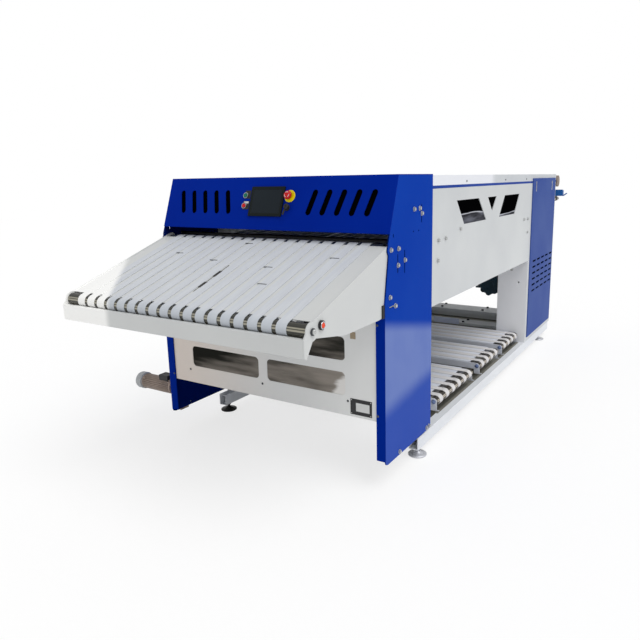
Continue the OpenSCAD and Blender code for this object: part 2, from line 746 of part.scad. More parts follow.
function cross_len(i) = cross_belts[i] * cross_pitch + 10;
module cross_conveyor_frames() {
  color("whitesmoke") in_frame() for (i = [0:2]) {
    y1 = cross_y[i] + cross_len(i);
    for (y = [cross_y[i], y1 - 4]) {
      difference() {
        union() {
          sheet_xz([y, y + 4]) translate([-cross_left_x, cross_z]) capsule(cross_left_x + cross_right_x, 19);
          block([cross_right_x - 18, cross_right_x + 18], [y, y + 4], [rail_top, cross_z]);
          block([-cross_left_x - 15, -rail_x + rail_w], [y, y + 4], [rail_top, cross_z]);
        }
        rod_y(12.5 + run_gap, -cross_left_x, [y - 1, y + 5], cross_z);
        rod_y(8 + run_gap, cross_right_x, [y - 1, y + 5], cross_z);
      }
      block([cross_right_x + 18, cross_right_x + 32], [y, y + 4], [rail_top, rail_top + 6]);
    }
    block([-cross_left_x + 45, cross_right_x - 45], [cross_y[i] + 4, y1 - 4],
      [cross_z + cross_r - 2, cross_z + cross_r]);
    for (y = [cross_y[i] + 4, y1 - 6])
      block([-cross_left_x + 45, cross_right_x - 45], [y, y + 2], [cross_z + 8, cross_z + cross_r - 1]);
  }
}
module cross_belt_row(i) {
  for (k = [0:cross_belts[i] - 1]) {
    y = cross_y[i] + 5 + (k + 0.5) * cross_pitch;
    sheet_xz([y - cross_belt_w / 2, y + cross_belt_w / 2]) translate([-cross_left_x, cross_z])
      belt_outline(cross_left_x + cross_right_x, cross_r + seat_gap, belt_t);
  }
}
module cross_conveyor_belts() {
  color("white") in_frame() for (i = [0:2]) cross_belt_row(i);
}
module cross_drive_shaft() {
  color("silver") in_frame() {
    rod_y(12.5, -cross_left_x, [cross_gear_y - 20, cross_y[2] + cross_len(2)], cross_z);
    for (i = [0:2])
      rod_y(cross_r, -cross_left_x, [cross_y[i] + 6, cross_y[i] + cross_len(i) - 6], cross_z);
  }
}
module cross_idler(i) {
  color("silver") in_frame() {
    rod_y(cross_r, cross_right_x, [cross_y[i] + 6, cross_y[i] + cross_len(i) - 6], cross_z);
    rod_y(8, cross_right_x, [cross_y[i] - 4, cross_y[i] + cross_len(i) + 4], cross_z);
  }
}
module cross_idler_front() cross_idler(0);
module cross_idler_middle() cross_idler(1);
module cross_idler_rear() cross_idler(2);
module cross_gear_motor() {
  x = -cross_left_x;
  z = cross_z + worm_offset;
  color("dimgray") in_frame() {
    difference() {
      block([x - cross_gear_x, -half], [cross_gear_y - 28, cross_gear_y + 28], [cross_z - 48, z + 46]);
      rod_y(12.5 + run_gap, x, [cross_gear_y - 33, cross_gear_y + 33], cross_z);
    }
    rod_x(42, [x - cross_gear_x - cross_motor_len + 40, x - cross_gear_x], cross_gear_y, z);
    rod_x(46, [x - cross_gear_x - cross_motor_len, x - cross_gear_x - cross_motor_len + 40], cross_gear_y, z);
    block([x - cross_gear_x - 90, x - cross_gear_x - 25], [cross_gear_y - 25, cross_gear_y + 25],
      [z + 30, z + 62]);
  }
}

// Drive and transport inside the body

module main_gear_motor() {
  color("darkslategray") in_frame() {
    difference() {
      block([motor_x - 70, housing_x - side_t], [motor_y - 60, motor_y + 60], [motor_z - 80, motor_z + 90]);
      rod_x(12 + run_gap, [housing_x - 60, housing_x], motor_y, motor_z);
    }
    rod_y(80, motor_x, [motor_y - 240, motor_y - 60], motor_z);
    rod_y(84, motor_x, [motor_y - 300, motor_y - 240], motor_z);
    block([motor_x - 106, motor_x - 50], [motor_y - 240, motor_y - 110], [motor_z - 17, motor_z + 62]);
  }
}
module motor_sprocket() {
  color("silver") in_frame() {
    rod_x(12, [housing_x - 50, chain_x + 12], motor_y, motor_z);
    rod_x(sprocket_r, [chain_x - 5, chain_x + 5], motor_y, motor_z);
  }
}
module drive_chain() {
  dy = transport_rear_y - motor_y;
  dz = transport_rear_z - motor_z;
  color("gray") in_frame() translate([0, motor_y, motor_z]) rotate([atan2(dz, dy), 0, 0])
    sheet_yz([chain_x - 5, chain_x + 5]) belt_outline(norm([dy, dz]), sprocket_r + seat_gap, 6);
}
module electrical_cabinet() {
  color("lightgray") in_frame() {
    block([-housing_x - 150, -housing_x], [housing_y + 80, housing_y + 480], [rail_top + 150, body_z - 30]);
  }
}

pulley_r = 20;
module infeed_drive_belt() {
  dy = transport_y - drive_y;
  dz = transport_z - drive_z;
  color("dimgray") in_frame() translate([0, drive_y, drive_z]) rotate([atan2(dz, dy), 0, 0])
    sheet_yz([-pulley_x - 5, -pulley_x + 5]) belt_outline(norm([dy, dz]), pulley_r + seat_gap, 4);
}

transport_half = inner - 36;
module transport_roller(y, z) {
  rod_x(roller_r, [-transport_half, transport_half], y, z);
  rod_x(10, [-inner + side_t + 2, inner - side_t - 2], y, z);
}
module transport_belts() {
  color("white") in_frame() on_transport() for (i = [0:belt_count - 1]) {
    x = (i - (belt_count - 1) / 2) * belt_pitch;
    sheet_yz([x - belt_w / 2, x + belt_w / 2]) belt_outline(transport_len, roller_r + seat_gap, belt_t);
  }
}
module transport_front_roller() {
  color("silver") in_frame() {
    transport_roller(transport_y, transport_z);
    rod_x(pulley_r, [-pulley_x - 5, -pulley_x + 5], transport_y, transport_z);
  }
}
module transport_rear_roller() {
  color("silver") in_frame() {
    transport_roller(transport_rear_y, transport_rear_z);
    rod_x(sprocket_r, [chain_x - 5, chain_x + 5], transport_rear_y, transport_rear_z);
  }
}
module nip_roller(z) {
  color("silver") in_frame() {
    rod_x(nip_r, [-transport_half, transport_half], nip_y, z);
    rod_x(10, [-inner + side_t + 2, inner - side_t - 2], nip_y, z);
  }
}
module nip_roller_upper() nip_roller(nip_z + nip_r + 0.5);
module nip_roller_lower() nip_roller(nip_z - nip_r - 0.5);

module bearing(x, y, z) {
  difference() {
    block([x - 14, x], [y - 22, y + 22], [z - 22, z + 22]);
    rod_x(10 + run_gap, [x - 15, x + 1], y, z);
  }
}
module roller_bearings() {
  wall = inner - side_t;
  color("slategray") in_frame() both_sides() {
    bearing(inner, transport_y, transport_z);
    bearing(wall, transport_rear_y, transport_rear_z);
    bearing(wall, nip_y, nip_z + nip_r + 0.5);
    bearing(wall, nip_y, nip_z - nip_r - 0.5);
    difference() {
      block([inner - 107, inner - 93], [housing_end, rear_roller_y + 22],
        [rear_roller_z - 22, rear_roller_z + 22]);
      rod_x(10 + run_gap, [inner - 108, inner - 92], rear_roller_y, rear_roller_z);
    }
  }
}

blade_x = inner - 70;
cylinder_x = inner - 27;
module fold_blade() {
  color("silver") in_frame() {
    block([-blade_x, blade_x], [nip_y - 130, nip_y - 70], [nip_z - 1.5, nip_z + 1.5]);
    both_sides() {
      block([blade_x, cylinder_x + 8], [nip_y - 130, nip_y - 118], [nip_z - 6, nip_z + 6]);
      rod_y(6, cylinder_x, [nip_y - 230, nip_y - 118], nip_z);
    }
  }
}
module fold_cylinders() {
  color("lightgray") in_frame() both_sides() difference() {
    union() {
      rod_y(17, cylinder_x, [nip_y - 320, nip_y - 140], nip_z);
      block([cylinder_x, inner - side_t], [nip_y - 310, nip_y - 280], [nip_z - 14, nip_z + 14]);
      block([cylinder_x, inner - side_t], [nip_y - 180, nip_y - 150], [nip_z - 14, nip_z + 14]);
    }
    rod_y(6 + run_gap, cylinder_x, [nip_y - 300, nip_y - 139], nip_z);
  }
}

base_rails();
base_cross_members();
levelling_feet();
front_posts();
side_panel_right();
side_panel_left();
panel_bolts();
control_fascia();
front_top_cover();
lower_front_panel();
window_panes();
blank_plates();
infeed_plate_right();
infeed_plate_left();
infeed_bed();
nose_bumper();
infeed_belts();
nose_roller();
infeed_drive_roller();
entry_guide_bar();
body_side_right();
body_side_left();
edge_seals();
top_covers();
housing_walls();
door_surrounds();
rear_cover();
door_right();
door_left();
cross_conveyor_frames();
cross_conveyor_belts();
cross_drive_shaft();
cross_idler_front();
cross_idler_middle();
cross_idler_rear();
cross_gear_motor();
main_gear_motor();
motor_sprocket();
drive_chain();
electrical_cabinet();
infeed_drive_belt();
transport_belts();
transport_front_roller();
transport_rear_roller();
roller_bearings();
nip_roller_upper();
nip_roller_lower();
fold_blade();
fold_cylinders();
touch_screen();
switch_collars();
start_button();
stop_button();
emergency_stop();
key_switch();
side_button_right();
side_button_left();
rear_roller();
air_valve();
air_valve_lever();
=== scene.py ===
import math

import bpy
from mathutils import Matrix, Vector


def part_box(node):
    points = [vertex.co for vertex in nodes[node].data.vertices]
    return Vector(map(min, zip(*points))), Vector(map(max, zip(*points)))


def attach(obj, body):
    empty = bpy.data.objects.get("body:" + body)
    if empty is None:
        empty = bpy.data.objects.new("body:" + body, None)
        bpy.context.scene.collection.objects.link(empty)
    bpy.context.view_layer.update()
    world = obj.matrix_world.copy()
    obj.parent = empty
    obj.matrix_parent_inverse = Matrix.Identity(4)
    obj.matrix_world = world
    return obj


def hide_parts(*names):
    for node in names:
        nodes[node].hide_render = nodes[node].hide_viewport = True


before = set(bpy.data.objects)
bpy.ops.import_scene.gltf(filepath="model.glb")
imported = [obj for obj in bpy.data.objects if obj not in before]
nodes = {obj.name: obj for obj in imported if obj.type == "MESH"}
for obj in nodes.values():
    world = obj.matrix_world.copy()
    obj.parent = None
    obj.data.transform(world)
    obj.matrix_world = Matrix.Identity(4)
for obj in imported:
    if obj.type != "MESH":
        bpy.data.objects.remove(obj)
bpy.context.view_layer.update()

# Camera: it stands at the photograph's place, in front and to the right, at the height of the
# control panel. The machine is measured from its middle line and from its flange face, which
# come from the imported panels.
panel_thick = 0.006
right_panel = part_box("side_panel_right")
left_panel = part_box("side_panel_left")
mid_x = (right_panel[1][0] + left_panel[0][0]) / 2
panel_half = right_panel[1][0] - mid_x
inner_half = panel_half - panel_thick
flange_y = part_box("lower_front_panel")[0][1] - panel_thick
top_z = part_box("control_fascia")[1][2]


def camera_matrix(place, yaw, pitch, roll):
    yaw, pitch, roll = (math.radians(angle) for angle in (yaw, pitch, roll))
    ahead = Vector((-math.sin(yaw) * math.cos(pitch), math.cos(yaw) * math.cos(pitch), -math.sin(pitch)))
    level = Vector((math.cos(yaw), math.sin(yaw), 0))
    down = ahead.cross(level)
    across = level * math.cos(roll) + down * math.sin(roll)
    up = level * math.sin(roll) - down * math.cos(roll)
    turn = Matrix((across, up, -ahead)).transposed().to_4x4()
    return Matrix.Translation(place) @ turn


bpy.ops.object.camera_add()
camera = bpy.context.object
camera.data.sensor_width = 36
camera.data.lens = 33.27
camera.data.shift_x = -0.0469
camera.data.shift_y = -0.03125
camera.data.clip_end = 60
camera.matrix_world = camera_matrix(Vector((mid_x + 1.706, flange_y - 2.049, 1.313)), 31.02, 11.54, 0.99)
bpy.context.scene.camera = camera
bpy.context.scene.view_settings.view_transform = "Standard"


# Studio: a pale floor that keeps the machine's soft shadow, an even pale sky, and one broad
# sunlike lamp high on the right, where the photograph's light comes from.
def feed(tree, value, socket):
    """Links value to the socket if value is a socket too, or else sets it there."""
    if isinstance(value, bpy.types.NodeSocket):
        tree.links.new(value, socket)
    else:
        socket.default_value = value


def fill(tree, node, **inputs):
    """Feeds a node's inputs by name. An underscore stands for a space."""
    for label, value in inputs.items():
        feed(tree, value, node.inputs[label.replace("_", " ")])
    return node


def add_node(tree, kind, **inputs):
    return fill(tree, tree.nodes.new("ShaderNode" + kind), **inputs)


def combine(tree, operation, first, second=0.0):
    node = tree.nodes.new("ShaderNodeMath")
    node.operation = operation
    feed(tree, first, node.inputs[0])
    feed(tree, second, node.inputs[1])
    return node.outputs[0]


def show_mix(tree, share, first, second, output):
    """Mixes two shaders by share and puts the result on the tree's output node."""
    mix = tree.nodes.new("ShaderNodeMixShader")
    for socket, source in zip(mix.inputs, (share, first.outputs[0], second.outputs[0])):
        tree.links.new(source, socket)
    tree.links.new(mix.outputs[0], tree.nodes[output].inputs["Surface"])


def new_material(name):
    material = bpy.data.materials.new(name)
    material.use_nodes = True
    return material, material.node_tree.nodes["Principled BSDF"]


def deselect():
    if bpy.context.object and bpy.context.object.mode != "OBJECT":
        bpy.ops.object.mode_set(mode="OBJECT")
    bpy.ops.object.select_all(action="DESELECT")


white_light = (1, 1, 1, 1)
deselect()
bpy.ops.mesh.primitive_plane_add(size=40, location=(0, 0, -0.0005))
floor = bpy.context.object
floor.name = "studio_floor"
floor_paint, shader = new_material("studio_floor_paint")
floor.data.materials.append(floor_paint)
tree = floor_paint.node_tree
fill(tree, shader, Base_Color=white_light, Roughness=0.9, Specular_IOR_Level=0.0)
glow = tree.nodes.new("ShaderNodeEmission")
to_camera = tree.nodes.new("ShaderNodeLightPath").outputs["Is Camera Ray"]
show_mix(tree, combine(tree, "MULTIPLY", to_camera, 0.72), shader, glow, "Material Output")

world = bpy.data.worlds.new("studio_sky")
bpy.context.scene.world = world
world.use_nodes = True
tree = world.node_tree
sky = fill(tree, tree.nodes["Background"], Color=white_light, Strength=0.6)
bright = add_node(tree, "Background", Color=white_light, Strength=1.0)
ray = tree.nodes.new("ShaderNodeLightPath").outputs
in_view = combine(tree, "MAXIMUM", ray["Is Camera Ray"], ray["Is Transmission Ray"])
show_mix(tree, in_view, sky, bright, "World Output")

bpy.ops.object.light_add(type="SUN", location=(4, -3, 6))
lamp = bpy.context.object
lamp.name = "lamp_front_right"
lamp.data.energy = 1.5
lamp.data.angle = math.radians(40)
lamp.rotation_euler = Vector((-0.52, 0.1, -0.85)).to_track_quat("-Z", "Y").to_euler()


# Base: two long square rails of painted steel tube with welded cross members. The white is a
# textured powder coat, and its group gives the faint clouding and the orange peel of such a
# coat to every painted sheet of the machine.
def new_group(name, inputs, outputs):
    """A node group of numbers and colours, with the sockets it is given and those it puts out."""
    group = bpy.data.node_groups.new(name, "ShaderNodeTree")
    for label, value in inputs.items():
        kind = "NodeSocketColor" if isinstance(value, tuple) else "NodeSocketFloat"
        socket = group.interface.new_socket(name=label, in_out="INPUT", socket_type=kind)
        socket.default_value = value
    for label in outputs:
        kind = "NodeSocketColor" if label == "Colour" else "NodeSocketFloat"
        group.interface.new_socket(name=label, in_out="OUTPUT", socket_type=kind)
    return group, group.nodes.new("NodeGroupInput").outputs, group.nodes.new("NodeGroupOutput").inputs


def use_group(tree, group, **inputs):
    node = tree.nodes.new("ShaderNodeGroup")
    node.node_tree = group
    return fill(tree, node, **inputs).outputs


def object_place(tree):
    return tree.nodes.new("ShaderNodeTexCoord").outputs["Object"]


def noise(tree, place, scale, detail):
    return add_node(tree, "TexNoise", Vector=place, Scale=scale, Detail=detail).outputs["Fac"]


def stretched(tree, value, start, end):
    """Even rise from 0 at start to 1 at end."""
    return add_node(tree, "MapRange", Value=value, From_Min=start, From_Max=end).outputs["Result"]


def blended(tree, share, first, second):
    mix = tree.nodes.new("ShaderNodeMix")
    mix.data_type = "RGBA"
    return fill(tree, mix, Factor=share, A=first, B=second).outputs["Result"]


coat, given, out = new_group(
    "coat",
    {"Paint": (0.8, 0.8, 0.8, 1), "Shade": (0.7, 0.7, 0.7, 1), "Cloud Scale": 2.5, "Peel Scale": 420.0,
     "Low Roughness": 0.3, "High Roughness": 0.45},
    ("Colour", "Roughness", "Peel"),
)
where = object_place(coat)
cloud = noise(coat, where, given["Cloud Scale"], 4.0)
cloudy = stretched(coat, cloud, 0.35, 0.65)
gloss = add_node(coat, "Mix", Factor=cloud, A=given["Low Roughness"], B=given["High Roughness"])
feed(coat, blended(coat, cloudy, given["Paint"], given["Shade"]), out["Colour"])
feed(coat, gloss.outputs["Result"], out["Roughness"])
feed(coat, noise(coat, where, given["Peel Scale"], 2.0), out["Peel"])


def linear(red, green, blue):
    """A colour given as on a screen, 0 to 255, in the linear values that shaders take."""
    def one(value):
        value /= 255
        return value / 12.92 if value <= 0.04045 else ((value + 0.055) / 1.055) ** 2.4

    return one(red), one(green), one(blue), 1.0


def coated(name, paint, shade, roughness=(0.3, 0.45), peel=(420, 0.15), metallic=0.0, shine=0.5):
    """A coat that clouds from paint to shade; peel is its fine grain's scale and depth."""
    material, shader = new_material(name)
    tree = material.node_tree
    low, high = roughness
    skin = use_group(tree, coat, Paint=linear(*paint), Shade=linear(*shade), Peel_Scale=peel[0],
                     Low_Roughness=low, High_Roughness=high)
    bump = add_node(tree, "Bump", Strength=peel[1], Distance=0.0004, Height=skin["Peel"])
    fill(tree, shader, Base_Color=skin["Colour"], Roughness=skin["Roughness"], Metallic=metallic,
         Normal=bump.outputs["Normal"], Specular_IOR_Level=shine)
    return material


def select_only(piece):
    deselect()
    bpy.context.view_layer.objects.active = piece
    piece.select_set(True)


def edit(piece, mode="FACE"):
    select_only(piece)
    bpy.ops.object.mode_set(mode="EDIT")
    bpy.ops.mesh.select_mode(type=mode)


def apply_all(piece):
    select_only(piece)
    bpy.ops.object.transform_apply(location=True, rotation=True, scale=True)
    for modifier in list(piece.modifiers):
        bpy.ops.object.modifier_apply(modifier=modifier.name)


smooth_angle = math.radians(35)


def bevelled(piece, width, segments=2, angle=40):
    select_only(piece)
    bpy.ops.object.shade_smooth_by_angle(angle=smooth_angle)
    edge = piece.modifiers.new("edge", "BEVEL")
    edge.harden_normals = True
    edge.width = width
    edge.segments = segments
    edge.limit_method = "ANGLE"
    edge.angle_limit = math.radians(angle)
    apply_all(piece)


def painted(piece, material):
    piece.data.materials.clear()
    piece.data.materials.append(material)
    return piece


merge_gap = 0.00002


def merged_copy(name, new_name):
    """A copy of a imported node, in edit mode, with its doubled points merged."""
    piece = bpy.data.objects.new(new_name, nodes[name].data.copy())
    bpy.context.scene.collection.objects.link(piece)
    edit(piece, "VERT")
    bpy.ops.mesh.select_all(action="SELECT")
    if piece.data.has_custom_normals:
        bpy.ops.mesh.customdata_custom_splitnormals_clear()
    bpy.ops.mesh.remove_doubles(threshold=merge_gap)
    return piece


def sheet_copy(name, width, material, body="frame"):
    """A copy of a packed sheet, with the small round that a coat leaves on its edges."""
    piece = merged_copy(name, name + "_sheet")
    bpy.ops.mesh.dissolve_limited(angle_limit=math.radians(0.5))
    bpy.ops.object.mode_set(mode="OBJECT")
    bevelled(painted(piece, material), width)
    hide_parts(name)
    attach(piece, body)
    return piece


white_paint = coated("white_powder_coat", (203, 206, 207), (197, 200, 202), shine=0.3)
# The rails take a lighter copy of the white coat as painted light, brighter than the cross members' white.
lit_rail_paint = coated("white_powder_coat_painted_light", (226, 229, 233), (220, 223, 228), shine=0.3)
sheet_copy("base_rails", 0.0015, lit_rail_paint)
for name in ("base_cross_members", "front_posts"):
    sheet_copy(name, 0.0015, white_paint)


# Control panel and top cover of the front housing: thick sheet in a gloss blue paint, cut by
# laser and folded.
blue_paint = coated("blue_gloss_paint", (3, 39, 147), (2, 35, 141), (0.35, 0.45), (300, 0.1), shine=0.015)
for name in ("control_fascia", "front_top_cover"):
    sheet_copy(name, 0.0012, blue_paint)


# Blue side panels: the same sheet, in a lighter copy of the blue as painted light. Below their middle a
# painted reflection lies on the gloss as a soft pale patch with a clear upper edge; its group gives that as
# a mask from the height and depth.
def ramp(tree, value, start, end, low=0.0, high=1.0):
    """Soft rise from low where value is start to high where it is end."""
    node = tree.nodes.new("ShaderNodeMapRange")
    node.interpolation_type = "SMOOTHSTEP"
    fill(tree, node, Value=value, From_Min=start, From_Max=end, To_Min=low, To_Max=high)
    return node.outputs["Result"]


def plus(tree, first, second):
    return combine(tree, "ADD", first, second)


def minus(tree, first, second):
    return combine(tree, "SUBTRACT", first, second)


def times(tree, first, second):
    return combine(tree, "MULTIPLY", first, second)


def axes(tree):
    """The X, Y and Z of the point that is painted."""
    return add_node(tree, "SeparateXYZ", Vector=object_place(tree)).outputs


def paint_of(material):
    """A material's tree, its colour socket and what feeds that socket now."""
    tree = material.node_tree
    socket = tree.nodes["Principled BSDF"].inputs["Base Color"]
    return tree, socket, socket.links[0].from_socket


def repaint(material, share, colour):
    """Lays colour over the material's own where share is 1."""
    tree, socket, plain = paint_of(material)
    feed(tree, blended(tree, share, plain, colour), socket)


painted_reflection, given, out = new_group("painted_reflection", {"Front": 0.0, "Middle": 0.0, "Half": 1.0}, ("Mask", "Outside"))
spot = axes(painted_reflection)
aside = combine(painted_reflection, "ABSOLUTE", minus(painted_reflection, spot["X"], given["Middle"]))
feed(painted_reflection, combine(painted_reflection, "GREATER_THAN", aside, given["Half"]), out["Outside"])
depth = minus(painted_reflection, spot["Y"], given["Front"])
slanted = plus(painted_reflection, spot["Z"], times(painted_reflection, depth, 0.22))
upper = ramp(painted_reflection, slanted, 0.765, 0.70)
slanted = plus(painted_reflection, spot["Z"], times(painted_reflection, depth, -0.1))
lower = ramp(painted_reflection, slanted, 0.31, 0.41, 0.24, 1.0)
patches = ramp(painted_reflection, noise(painted_reflection, object_place(painted_reflection), 5.0, 2.0), 0.3, 0.7, 0.86, 1.0)
feed(painted_reflection, times(painted_reflection, times(painted_reflection, upper, lower), patches), out["Mask"])

lit_side_blue = coated("blue_side_paint_painted_light", (14, 62, 166), (10, 58, 163), (0.35, 0.45), (300, 0.1), shine=0.006)
tree, socket, plain = paint_of(lit_side_blue)
mask = use_group(tree, painted_reflection, Front=flange_y, Middle=mid_x, Half=panel_half - 0.001)
outer_reflection_look = blended(tree, mask["Mask"], plain, linear(110, 129, 188))
# Inner faces: the flange's front face keeps the front blue, and behind it the blue is painted darker as
# painted shade.
behind = ramp(tree, axes(tree)["Y"], flange_y + 0.001, flange_y + 0.005)
inner_shade_look = blended(tree, behind, linear(1, 38, 140), linear(0, 21, 88))
feed(tree, blended(tree, mask["Outside"], inner_shade_look, outer_reflection_look), socket)
for name in ("side_panel_right", "side_panel_left"):
    sheet_copy(name, 0.0012, lit_side_blue)


# Levelling feet: a turned pad with a low cone, a screw and a lock nut, zinc plated. Round
# pieces are turned by extruding a disc along its axis and scaling it at each step.
def turned(name, steps, sides=40):
    """steps are (radius, height) pairs along +Z, from the first disc to the last."""
    deselect()
    radius, height = steps[0]
    bpy.ops.mesh.primitive_circle_add(vertices=sides, radius=radius, fill_type="NGON", location=(0, 0, 0))
    piece = bpy.context.object
    piece.name = name
    bpy.ops.object.mode_set(mode="EDIT")
    bpy.ops.mesh.select_all(action="SELECT")
    bpy.ops.transform.translate(value=(0, 0, height))
    for next_radius, next_height in steps[1:]:
        bpy.ops.mesh.extrude_region_move(TRANSFORM_OT_translate={"value": (0, 0, next_height - height)})
        grow = next_radius / radius
        bpy.ops.transform.resize(value=(grow, grow, 1), center_override=(0, 0, next_height))
        radius, height = next_radius, next_height
    bpy.ops.mesh.select_all(action="SELECT")
    bpy.ops.mesh.normals_make_consistent(inside=False)
    bpy.ops.object.mode_set(mode="OBJECT")
    bpy.ops.object.shade_smooth_by_angle(angle=smooth_angle)
    return piece


def at(x, y, z):
    return Matrix.Translation((x, y, z))


def placed(piece, place):
    piece.matrix_world = place
    apply_all(piece)
    return piece


def copied(pattern, place):
    """A copy of the pattern with a mesh of its own, moved to place."""
    piece = pattern.copy()
    piece.data = pattern.data.copy()
    bpy.context.scene.collection.objects.link(piece)
    return placed(piece, place)


def copies(pattern, places):
    """One copy of the pattern at each place. The pattern itself goes."""
    made = [copied(pattern, place) for place in places]
    bpy.data.objects.remove(pattern)
    return made


def joined(name, pieces):
    deselect()
    for piece in pieces:
        piece.select_set(True)
    bpy.context.view_layer.objects.active = pieces[0]
    if len(pieces) > 1:
        bpy.ops.object.join()
    pieces[0].name = name
    return pieces[0]


def stacked(name, *parts):
    """Turned parts, each given by its steps, sides and material, joined into one."""
    made = [painted(turned("part", steps, sides), material) for steps, sides, material in parts]
    return joined(name, made)


def finish(name, pieces, material, body="frame", stands_for=()):
    """Makes one named piece of the pieces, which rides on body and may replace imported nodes."""
    piece = joined(name, pieces)
    if material:
        painted(piece, material)
    apply_all(piece)
    if stands_for:
        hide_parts(*stands_for)
    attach(piece, body)


def solids_of(name):
    """The boxes of a node's separate solids, from a merged copy that is then thrown away."""
    merged_copy(name, "measure")
    bpy.ops.mesh.separate(type="LOOSE")
    bpy.ops.object.mode_set(mode="OBJECT")
    boxes = []
    for part in bpy.context.selected_objects:
        by_axis = list(zip(*part.bound_box))
        boxes.append([Vector([end(values) for values in by_axis]) for end in (min, max)])
        bpy.data.objects.remove(part)
    return sorted(boxes, key=lambda box: tuple(round(value, 5) for value in box[0]))


foot_steps = [(0.0425, 0), (0.045, 0.002), (0.045, 0.007), (0.043, 0.009), (0.030, 0.012),
              (0.0155, 0.018), (0.0135, 0.021), (0.0105, 0.022), (0.008, 0.0225), (0.008, 0.064)]
nut_steps = [(0.0125, 0.0335), (0.014, 0.0347), (0.014, 0.0425), (0.0125, 0.0437)]
foot_zinc = coated("foot_zinc", (214, 215, 220), (190, 192, 198), (0.3, 0.45), (700, 0.08), metallic=0.6)
# The left-hand feet are painted near black, as painted shade.
left_feet_shade = ramp(foot_zinc.node_tree, axes(foot_zinc.node_tree)["X"], mid_x + 0.01, mid_x - 0.01)
repaint(foot_zinc, left_feet_shade, linear(44, 44, 42))
pattern = stacked("levelling_foot", (foot_steps, 48, foot_zinc), (nut_steps, 6, foot_zinc))
spots = []
for low, high in solids_of("levelling_feet"):
    spots.append(at((low[0] + high[0]) / 2, (low[1] + high[1]) / 2, 0))
feet = copies(pattern, spots)
finish("levelling_feet_set", feet, foot_zinc, stands_for=["levelling_feet"])


# Hexagon bolts with washers, and small dark screws, in all the panels. One of each is
# modelled and copied to every packed one: its thin side gives the way it was put in.
zinc = coated("zinc_plate", (206, 207, 205), (180, 182, 183), (0.25, 0.4), (700, 0.08), metallic=0.75)
# The bolts' top recesses and the cap screws' sockets are painted near black as painted shade; the rear beam
# bolts are wholly this dark colour.
recess_shade_and_dark_bolts = coated("bolt_recess_shade_and_dark_bolts", (30, 32, 36), (20, 21, 24), (0.5, 0.65), (700, 0.1), metallic=0.4)
screw_dark = coated("phosphated_screw", (92, 94, 98), (66, 68, 72), (0.35, 0.5), (700, 0.1), metallic=0.8)
washer_steps = [(0.0103, 0), (0.0106, 0.0003), (0.0106, 0.0013), (0.0103, 0.0016)]
head_steps = [(0.0088, 0.0016), (0.009, 0.002), (0.009, 0.0072), (0.0078, 0.008)]
recess_steps = [(0.0073, 0.0079), (0.0071, 0.00815), (0.0067, 0.00815), (0.0063, 0.0077), (0.0004, 0.0076)]
screw_steps = [(0.0055, 0), (0.0055, 0.0006), (0.0049, 0.0016), (0.0036, 0.0024), (0.0022, 0.0025),
               (0.0016, 0.0016), (0.0002, 0.0015)]
bolt_high, screw_high, screw_size = 0.008, 0.0025, 0.014


def facing(axis, place):
    """Turns +Z to the axis and moves to place."""
    turn = Vector((0, 0, 1)).rotation_difference(Vector(axis))
    return Matrix.Translation(place) @ turn.to_matrix().to_4x4()


parts = (washer_steps, 28, zinc), (head_steps, 6, zinc), (recess_steps, 20, recess_shade_and_dark_bolts)
hexagon_bolt = stacked("bolt", *parts)
small_screw = stacked("screw", (screw_steps, 20, screw_dark))
bolts = []
for low, high in solids_of("panel_bolts"):
    size = high - low
    centre = (low + high) / 2
    small = max(size) < screw_size
    height = screw_high if small else bolt_high
    if size[1] < size[0]:
        seat = facing((0, -1, 0), (centre[0], low[1] + height, centre[2]))
    else:
        side = 1 if centre[0] > mid_x else -1
        face_x = high[0] if side > 0 else low[0]
        seat = facing((side, 0, 0), (face_x - side * height, centre[1], centre[2]))
    bolts.append(copied(small_screw if small else hexagon_bolt, seat))
bpy.data.objects.remove(hexagon_bolt)
bpy.data.objects.remove(small_screw)
finish("panel_bolt_set", bolts, None, stands_for=["panel_bolts"])


# Touch screen: a glass face sunk in a black plastic bezel, with its housing behind the
# control panel. Places on that panel are found from its lower edge and its lean.
fascia_rise, fascia_depth = 0.232, 0.082
lean = math.atan2(fascia_depth, fascia_rise)
up_slope = Vector((0, math.sin(lean), math.cos(lean)))
off_slope = Vector((0, -math.cos(lean), math.sin(lean)))
slope_turn = Matrix((Vector((1, 0, 0)), up_slope, off_slope)).transposed().to_4x4()
slope_foot = Vector((mid_x, flange_y + 0.044, top_z - fascia_rise)) + off_slope * 0.003


def on_slope(x, rise, lift=0.0):
    """A seat on the control panel: x from the middle, rise above its lower edge, lift off it."""
    place = slope_foot + Vector((x, 0, 0)) + up_slope * (rise / math.cos(lean)) + off_slope * lift
    return Matrix.Translation(place) @ slope_turn


def edit_faces(piece, wanted):
    """Edits the piece with only those faces selected for which wanted is true."""
    edit(piece)
    bpy.ops.mesh.select_all(action="DESELECT")
    bpy.ops.object.mode_set(mode="OBJECT")
    for face in piece.data.polygons:
        face.select = wanted(face)
    bpy.ops.object.mode_set(mode="EDIT")


def plate(name, size, thick, inset=0.0, sink=0.0, edge=0.001):
    """A block lying on z = 0, with an optional sunk field on its upper face."""
    deselect()
    bpy.ops.mesh.primitive_cube_add(size=1, location=(0, 0, thick / 2))
    piece = bpy.context.object
    piece.name = name
    piece.scale = (size[0], size[1], thick)
    apply_all(piece)
    if inset:
        edit_faces(piece, lambda face: face.normal.z > 0.9)
        bpy.ops.mesh.inset(thickness=inset, depth=0)
        bpy.ops.mesh.extrude_region_move(TRANSFORM_OT_translate={"value": (0, 0, -sink)})
    bevelled(piece, edge)
    return piece


